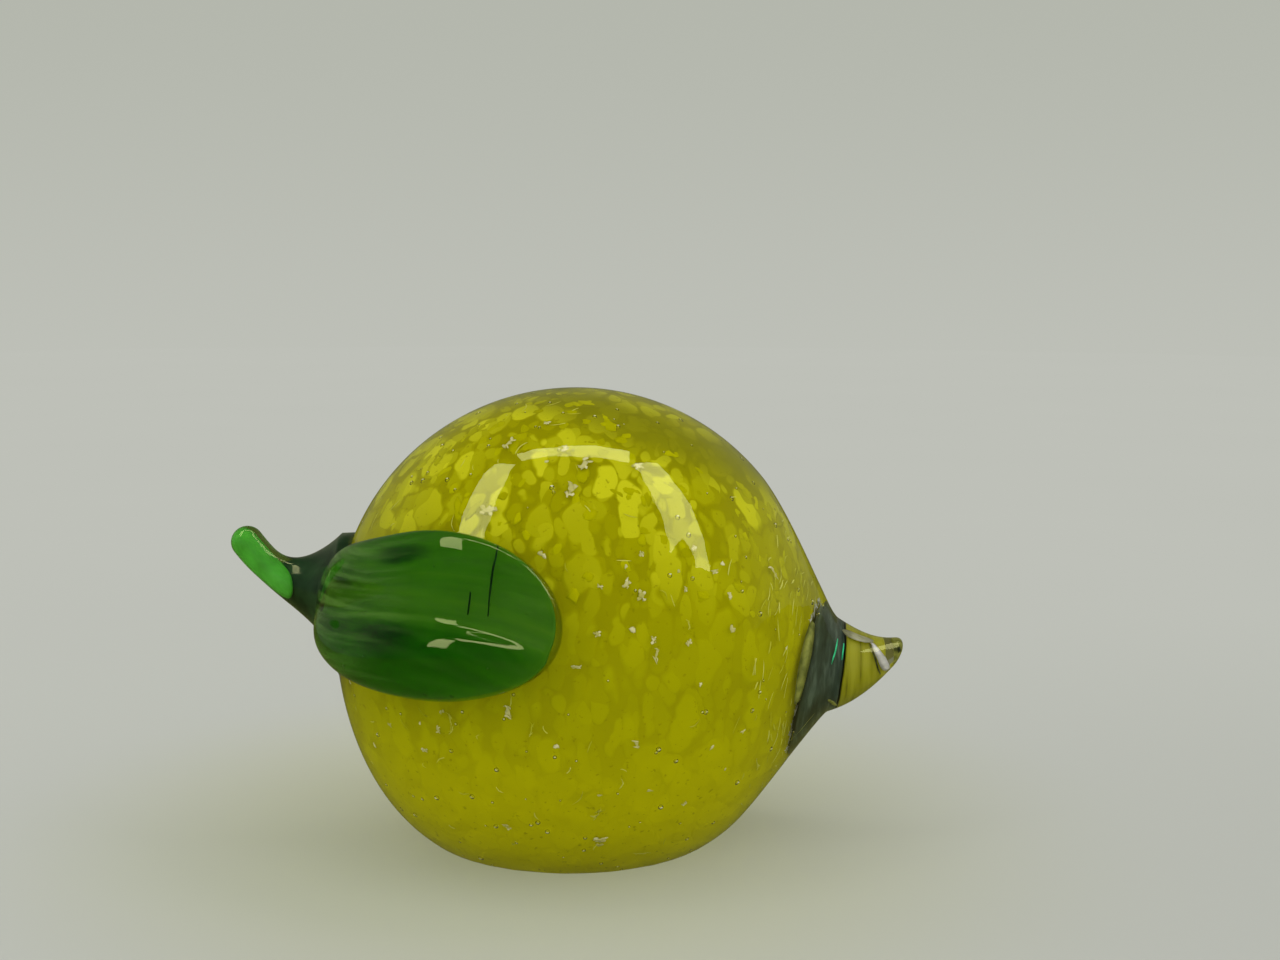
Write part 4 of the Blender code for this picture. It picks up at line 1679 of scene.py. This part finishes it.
@dataclass
class GlassLeaf:
    """The thick green leaf pressed on the front, with its groove, milky streaks and cracks."""

    form: LemonForm
    root_azimuth: float = radians(-86.7)
    root_elevation: float = radians(8.4)
    tip_elevation: float = radians(6.5)
    bow: float = radians(5.3)
    bow_power: float = 1.9
    length: float = 0.0587
    half_width: float = 0.0125
    widening: float = 0.31
    shoulder: float = 0.60
    thickness: float = 0.0060
    edge_power: float = 4.8
    groove_depth: float = 0.0044
    upper_bank: float = 0.0086
    upper_recess: float = 0.0013
    lower_bank: float = 0.0033
    bank_narrowing: float = 0.57
    narrowing_start: float = -0.1
    groove_end_power: float = 8.0
    bite: float = 0.0003
    slope_step: float = 0.01
    segments: int = 200
    rings: int = 140
    bed: Film = Film(0.06, 0.12, 0.965, 0.28)
    veil: Film = Film(0.70, 0.73, 0.94, 0.07)
    film_segments: int = 96
    film_rings: int = 40
    tone_span: Span = (-0.95, 0.35)
    crack_width: float = 0.010
    crack_height: Span = (0.80, 0.84)
    crack_ends: float = 0.4
    bubble_height: float = 0.62

    # On the unit disc: darker places (along, across, half length, half width), cracks, and bubbles with their
    # radius in millimetres
    SHADES = ((-0.02, -0.36, 0.30, 0.24), (0.04, 0.72, 0.24, 0.14), (-0.50, 0.34, 0.16, 0.10))
    CRACKS = {
        "leaf_crack_long": (
            (0.575, 0.80), (0.595, 0.66), (0.60, 0.52), (0.605, 0.45), (0.615, 0.27), (0.63, 0.09),
        ),
        "leaf_crack_short": ((0.518, 0.29), (0.522, 0.18), (0.525, 0.06)),
    }
    BUBBLES = (
        (0.62, 0.20, 0.22), (0.30, 0.52, 0.16), (-0.22, -0.66, 0.30), (0.34, -0.78, 0.26),
        (0.52, -0.72, 0.30), (0.72, -0.34, 0.20), (0.08, 0.12, 0.14), (-0.44, 0.46, 0.18),
        (0.80, 0.22, 0.16), (-0.05, -0.52, 0.14),
    )

    def direction(self, along: float) -> Vector:
        """Returns the direction from the body's centre to the leaf's middle line.

        Args:
            along: the place along the leaf, from 0 at the root to 1 at the tip.

        Returns:
            The direction.
        """
        azimuth = self.root_azimuth + along * self.length / self.form.body_radius
        bow = self.bow * sin(pi * max(0.0, along) ** self.bow_power)
        elevation = blend(self.root_elevation, self.tip_elevation, along) + bow
        return Vector((sin(azimuth) * cos(elevation), -cos(azimuth) * cos(elevation), sin(elevation)))

    def across(self, x: float, y: float) -> float:
        """Returns how far from the leaf's middle line a point of the unit disc goes.

        Args:
            x: how far along, from -1 at the root to 1 at the tip.
            y: how far across, from -1 to 1.

        Returns:
            The distance.
        """
        distance = y * self.half_width * (1.0 + self.widening * x)
        if x < 0.0 < y:
            distance *= 1.0 + self.shoulder * x**2
        return distance

    def height(self, x: float, y: float) -> float:
        """Returns the leaf's height over the body.

        Args:
            x: how far along, from -1 at the root to 1 at the tip.
            y: how far across, from -1 to 1.

        Returns:
            The height.
        """
        spread = min(1.0, sqrt(x**2 + y**2))
        dome = sqrt(max(0.0, 1.0 - spread**self.edge_power))
        from_groove = self.across(x, y)
        run_out = 1.0 - spread**self.groove_end_power
        if x < 0.0:
            run_out *= 1.0 - x**2
        bank, rest = self.upper_bank, self.upper_recess
        if from_groove < 0.0:
            bank = self.lower_bank * (1.0 - self.bank_narrowing * max(0.0, x - self.narrowing_start))
            rest = 0.0
        groove = blend(rest, self.groove_depth, 2.0 ** (-((from_groove / bank) ** 2)))
        return self.thickness * dome - groove * run_out

    def point(self, x: float, y: float, height: float) -> Vector:
        """Returns the place on the table of a point of the leaf.

        Args:
            x: how far along, from -1 at the root to 1 at the tip.
            y: how far across, from -1 to 1.
            height: its height over the body's skin.

        Returns:
            The place.
        """
        along = 0.5 * (1.0 + x)
        outward = self.direction(along)
        ahead, behind = self.direction(along + self.slope_step), self.direction(along - self.slope_step)
        side = outward.cross((ahead - behind).normalized()).normalized()
        turn = self.across(x, y) / self.form.body_radius
        place = (outward * cos(turn) + side * sin(turn)) * (self.form.body_radius + height)
        return self.form.raise_and_settle(place)

    def mesh(self) -> Mesh:
        """Returns the leaf as a ball pressed into a thick, grooved pad that bites into the body's skin."""
        mesh = bmesh.new()
        bmesh.ops.create_uvsphere(mesh, u_segments=self.segments, v_segments=self.rings, radius=1.0)
        for vert in mesh.verts:
            x, y, z = vert.co
            height = -self.bite
            if z > 0.0:
                height = self.height(x, y) - self.bite * (x * x + y * y) ** 3
            vert.co = self.point(x, y, height)
        return face_outwards(mesh)

    def shade(self, x: float, y: float) -> float:
        """Returns how near a point of the unit disc is to the darker places, from 0 to 1."""
        return max(exp(-(((x - u) / long) ** 2) - ((y - v) / wide) ** 2) for u, v, long, wide in self.SHADES)

    def film(self, film: Film) -> Mesh:
        """Returns a thin film inside the leaf, with a tone that falls from 1 at the root.

        Args:
            film: its place and tone.

        Returns:
            The closed mesh, which carries its run, tones and shades.
        """
        mesh = bmesh.new()
        tone = mesh.verts.layers.float.new("tone")
        shade = mesh.verts.layers.float.new("shade")
        run = mesh.verts.layers.float_vector.new("run")
        bmesh.ops.create_uvsphere(mesh, u_segments=self.film_segments, v_segments=self.film_rings, radius=1.0)
        for vert in mesh.verts:
            x, y, z = vert.co
            vert[run] = Vector((x, y, 0.0))
            vert[tone] = blend(1.0, film.tip_tone, soft_step(*self.tone_span, x))
            vert[shade] = self.shade(x, y)
            place = (x * film.reach, y * film.reach)
            vert.co = self.point(*place, self.height(*place) * (film.high if z > 0.0 else film.low))
        return face_outwards(mesh)

    def crack(self, path: tuple[Span, ...]) -> Mesh:
        """Returns a thin dark crack inside the leaf.

        Args:
            path: its points, along and across the unit disc.

        Returns:
            The closed mesh.
        """
        low, high = self.crack_height
        loops = []
        for index, (x, y) in enumerate(path):
            height = self.height(x, y)
            taper = self.crack_ends + (1.0 - self.crack_ends) * sin(pi * (index + 0.5) / len(path))
            half = self.crack_width * taper / 2.0
            corners = ((-half, low), (half, low), (half, high), (-half, high))
            loops.append([self.point(x + side, y, height * share) for side, share in corners])
        return loft(loops)

    def build(self) -> None:
        """Builds and ties the leaf and what is caught in it."""
        green = GlassFinish("leaf_green", absorbed=(0.27, 0.72, 0.0), density=300.0)
        fit_piece("leaf_pad", self.mesh(), green.build(), Slot.LEAF, "leaf")
        greens = ((0.34, (0.03, 0.09, 0.0)), (0.50, (0.085, 0.19, 0.0)), (0.66, (0.17, 0.29, 0.01)))
        bed = BedFinish("leaf_bed", greens, 1.0, (1.0, 6.0, 1.0))
        fit_piece("leaf_bed", self.film(self.bed), bed.build(), Slot.LEAF)
        tints = ((0.08, 0.20, 0.02), (0.25, 0.39, 0.12))
        milk = VeilFinish("leaf_milk", *tints, scale=(1.6, 9.0, 1.0), cover=0.46, fade=(0.40, 0.68))
        fit_piece("leaf_veil", self.film(self.veil), milk.build(), Slot.LEAF)
        dark = StreakFinish("leaf_crack", ((0.40, (0.0, 0.008, 0.0)), (0.60, (0.0, 0.03, 0.0)))).build()
        for name, path in self.CRACKS.items():
            fit_piece(name, self.crack(path), dark, Slot.LEAF)
        bubbles = Scatter.of_bubbles()
        for x, y, size in self.BUBBLES:
            bubbles.add_ball(self.point(x, y, self.height(x, y) * self.bubble_height), size * MILLIMETRE)
        skin = GlassFinish("leaf_bubble_skin", ior=1.0 / GLASS_IOR)
        fit_piece("leaf_bubbles", bubbles.mesh, skin.build(), Slot.LEAF)


@dataclass
class Studio:
    """Floor, backdrop, soft sky, three light strips and the camera."""

    form: LemonForm
    pale: Colour = (0.515, 0.527, 0.479)
    high_pale: Colour = (0.455, 0.472, 0.415)
    # Painted light: the yellowish floor round the lemon, for the light the lemon throws on it
    painted_glow_floor: Colour = (0.555, 0.570, 0.440)
    far_floor: Colour = (0.560, 0.575, 0.520)
    mirrored_floor: Colour = (0.500, 0.490, 0.140)
    floor_radius: float = 1.5
    floor_segments: int = 96
    grain_scale: float = 9.0
    # Where the painted light round the lemon fades out
    painted_glow_end: Span = (0.045, 0.11)
    even_span: Span = (0.09, 0.34)
    # Painted shade: the floor's right front corner is darkened to this share
    painted_corner_shade: float = 0.91
    corner_right: Span = (0.0, 0.15)
    corner_front: Span = (0.20, -0.05)
    corner_fade: Span = (0.45, 0.20)
    horizon_sky: float = 1.45
    top_sky: float = 0.60
    sky_span: Span = (0.10, 0.80)
    backdrop_span: Span = (-0.10, 0.16)
    behind_span: Span = (-0.25, 0.35)
    behind_top: Span = (0.30, 0.75)
    dim: float = 0.05
    mirrored_dim: float = 0.4
    mirrored_share: float = 0.30
    mirrored_floor_share: float = 0.7
    mirrored_tint: Colour = (1.0, 1.0, 0.75)
    strip_height: float = 0.60
    strip_level: float = 4.3
    strip_soft_level: float = 2.0
    strip_tint: Colour = (1.0, 0.99, 0.46)
    sensor_width: float = 36.0
    focal_pixels: float = 1800.0
    aim: Span = (576.4, 625.1)
    clip: Span = (0.01, 20.0)

    # Outlines of the three light strips over the lemon, seen from above
    STRIPS = {
        "strip_left": (
            (-0.31, 0.13), (-0.23, 0.06), (-0.30, -0.03), (-0.43, -0.21), (-0.60, -0.39), (-0.76, -0.23),
            (-0.50, 0.00), (-0.37, 0.10),
        ),
        "strip_top": (
            (-0.22, 0.14), (-0.08, 0.12), (0.10, 0.13), (0.19, 0.14), (0.19, 0.06), (0.02, 0.04),
            (-0.20, 0.07),
        ),
        "strip_right": (
            (0.21, 0.06), (0.31, 0.14), (0.51, 0.02), (0.95, -0.24), (1.26, -0.40), (1.02, -0.47),
            (0.84, -0.34), (0.65, -0.29), (0.65, -0.46), (0.49, -0.28), (0.29, -0.04),
        ),
    }

    def floor_material(self) -> Material:
        """Returns the pale floor's finish: it takes shadows near the lemon and is even further off."""
        sheet = material_sheet("pale_floor")
        place = sheet.place()
        far = sheet.vectors("LENGTH", place, output=1)
        grain = sheet.noise(place, self.grain_scale, 2.0)
        # Painted light: yellowish round the lemon, fading to the floor's own colour further off
        near_tint = sheet.mix(grain, scaled(self.painted_glow_floor, 0.98), self.painted_glow_floor)
        near_tint = sheet.mix(sheet.rise(far, *self.painted_glow_end), near_tint, self.far_floor)
        far_tint = sheet.mix(grain, scaled(self.pale, 0.99), scaled(self.pale, 1.01))
        sides = sheet.node("SeparateXYZ", {0: place}).outputs
        # Painted shade: a darker right front corner
        corner = sheet.rise(sides["X"], *self.corner_right)
        corner = sheet.times(corner, sheet.rise(sides["Y"], *self.corner_front))
        corner = sheet.times(corner, sheet.rise(far, *self.corner_fade))
        near_tint = sheet.mix(corner, near_tint, scaled(self.far_floor, self.painted_corner_shade))
        far_tint = sheet.mix(corner, far_tint, scaled(self.pale, self.painted_corner_shade))
        matt = sheet.first("BsdfDiffuse", {"Color": near_tint})
        seen = sheet.layer(sheet.rise(far, *self.even_span), matt, sheet.glow(far_tint))
        mirror_tint = sheet.mix(grain, scaled(self.mirrored_floor, 0.98), self.mirrored_floor)
        mirrored = sheet.glow(mirror_tint, self.mirrored_share * self.mirrored_floor_share)
        return sheet.close(sheet.layer(sheet.node("LightPath").outputs["Is Glossy Ray"], seen, mirrored))

    def build_floor(self) -> None:
        """Builds the floor as one round sheet."""
        mesh = bmesh.new()
        bmesh.ops.create_circle(mesh, cap_ends=True, radius=self.floor_radius, segments=self.floor_segments)
        dress("floor", mesh, self.floor_material())

    def strip_material(self) -> Material:
        """Returns the light strips' even glow, brighter where glass mirrors it."""
        sheet = material_sheet("strip_glow")
        path = sheet.node("LightPath").outputs
        mirrored = sheet.maths("MAXIMUM", path["Is Glossy Ray"], path["Is Transmission Ray"])
        level = sheet.line(mirrored, self.strip_level - self.strip_soft_level, self.strip_soft_level)
        return sheet.close(sheet.glow(sheet.mix(mirrored, WHITE, self.strip_tint), level))

    def build_strips(self) -> None:
        """Builds the three light strips over the lemon."""
        glow = self.strip_material()
        height = self.strip_height + self.form.centre_height
        for name, outline in self.STRIPS.items():
            mesh = bmesh.new()
            mesh.faces.new([mesh.verts.new((x, y, height)) for x, y in outline])
            bmesh.ops.triangulate(mesh, faces=mesh.faces)
            dress(name, mesh, glow)

    def build_world(self) -> None:
        """Lights the lemon softly from all round; what glass mirrors is pale behind it and dim in front."""
        world = bpy.data.worlds.new("soft_sky")
        sheet = NodeSheet(world)
        axes = sheet.node("SeparateXYZ", {0: sheet.node("TexCoord").outputs["Generated"]}).outputs
        path = sheet.node("LightPath").outputs
        soft = sheet.mix(sheet.rise(axes["Z"], *self.sky_span), (self.horizon_sky,) * 3, (self.top_sky,) * 3)
        low = sheet.maths("SUBTRACT", 1.0, sheet.rise(axes["Z"], *self.behind_top))
        behind = sheet.times(sheet.rise(axes["Y"], *self.behind_span), low)
        through = sheet.mix(behind, (self.dim,) * 3, self.pale)
        tints = zip(self.pale, self.mirrored_tint)
        faint = tuple(value * tint * self.mirrored_share for value, tint in tints)
        mirrored = sheet.mix(behind, (self.dim * self.mirrored_dim,) * 3, faint)
        level = sheet.mix(path["Is Transmission Ray"], soft, through)
        level = sheet.mix(path["Is Glossy Ray"], level, mirrored)
        backdrop = sheet.mix(sheet.rise(axes["Z"], *self.backdrop_span), self.pale, self.high_pale)
        colour = sheet.mix(path["Is Camera Ray"], level, backdrop)
        sky = sheet.first("Background", {"Color": colour, "Strength": 1.0})
        sheet.node("OutputWorld", {"Surface": sky})
        bpy.context.scene.world = world

    def build_camera(self) -> None:
        """Places the camera at the photograph's viewing angle and distance."""
        right = Vector((1.0, 0.0, 0.0))
        drop = atan2(self.aim[1] - PHOTO_HEIGHT / 2.0, self.focal_pixels)
        swing = atan2(self.aim[0] - PHOTO_WIDTH / 2.0, self.focal_pixels)
        level = VIEW_UP * sin(drop) - VIEW_BACK * cos(drop)
        camera_up = VIEW_UP * cos(drop) + VIEW_BACK * sin(drop)
        forward = level * cos(swing) - right * sin(swing)
        camera_right = right * cos(swing) + level * sin(swing)
        data = bpy.data.cameras.new("photo_camera")
        data.sensor_width = self.sensor_width
        data.lens = data.sensor_width * self.focal_pixels / PHOTO_WIDTH
        data.clip_start, data.clip_end = self.clip
        camera = bpy.data.objects.new("photo_camera", data)
        bpy.context.scene.collection.objects.link(camera)
        turn = Matrix((camera_right, camera_up, -forward)).transposed()
        eye = Vector((0.0, 0.0, self.form.centre_height)) + VIEW_BACK * VIEW_DISTANCE
        camera.matrix_world = Matrix.Translation(eye) @ turn.to_4x4()
        bpy.context.scene.camera = camera

    def build(self) -> None:
        """Builds the whole studio."""
        self.build_camera()
        self.build_world()
        self.build_floor()
        self.build_strips()
        bpy.context.scene.view_settings.view_transform = "Standard"
        LOG.info("studio: camera, floor, three strips and soft sky")


def main() -> None:
    """Builds the studio and the lemon's pieces in order, and reports each."""
    logging.basicConfig(level=logging.INFO, format="%(message)s")
    form = LemonForm()
    body = (ClearBody, FritLayer, frit_chips, painted_light_flecks, pale_threads, nub_threads, RingEdge)
    for part in (Studio, *body, NubHeart, seed_bubbles, core_bubbles, GlassStem, GlassLeaf):
        part(form).build()


if __name__ == "__main__":
    main()
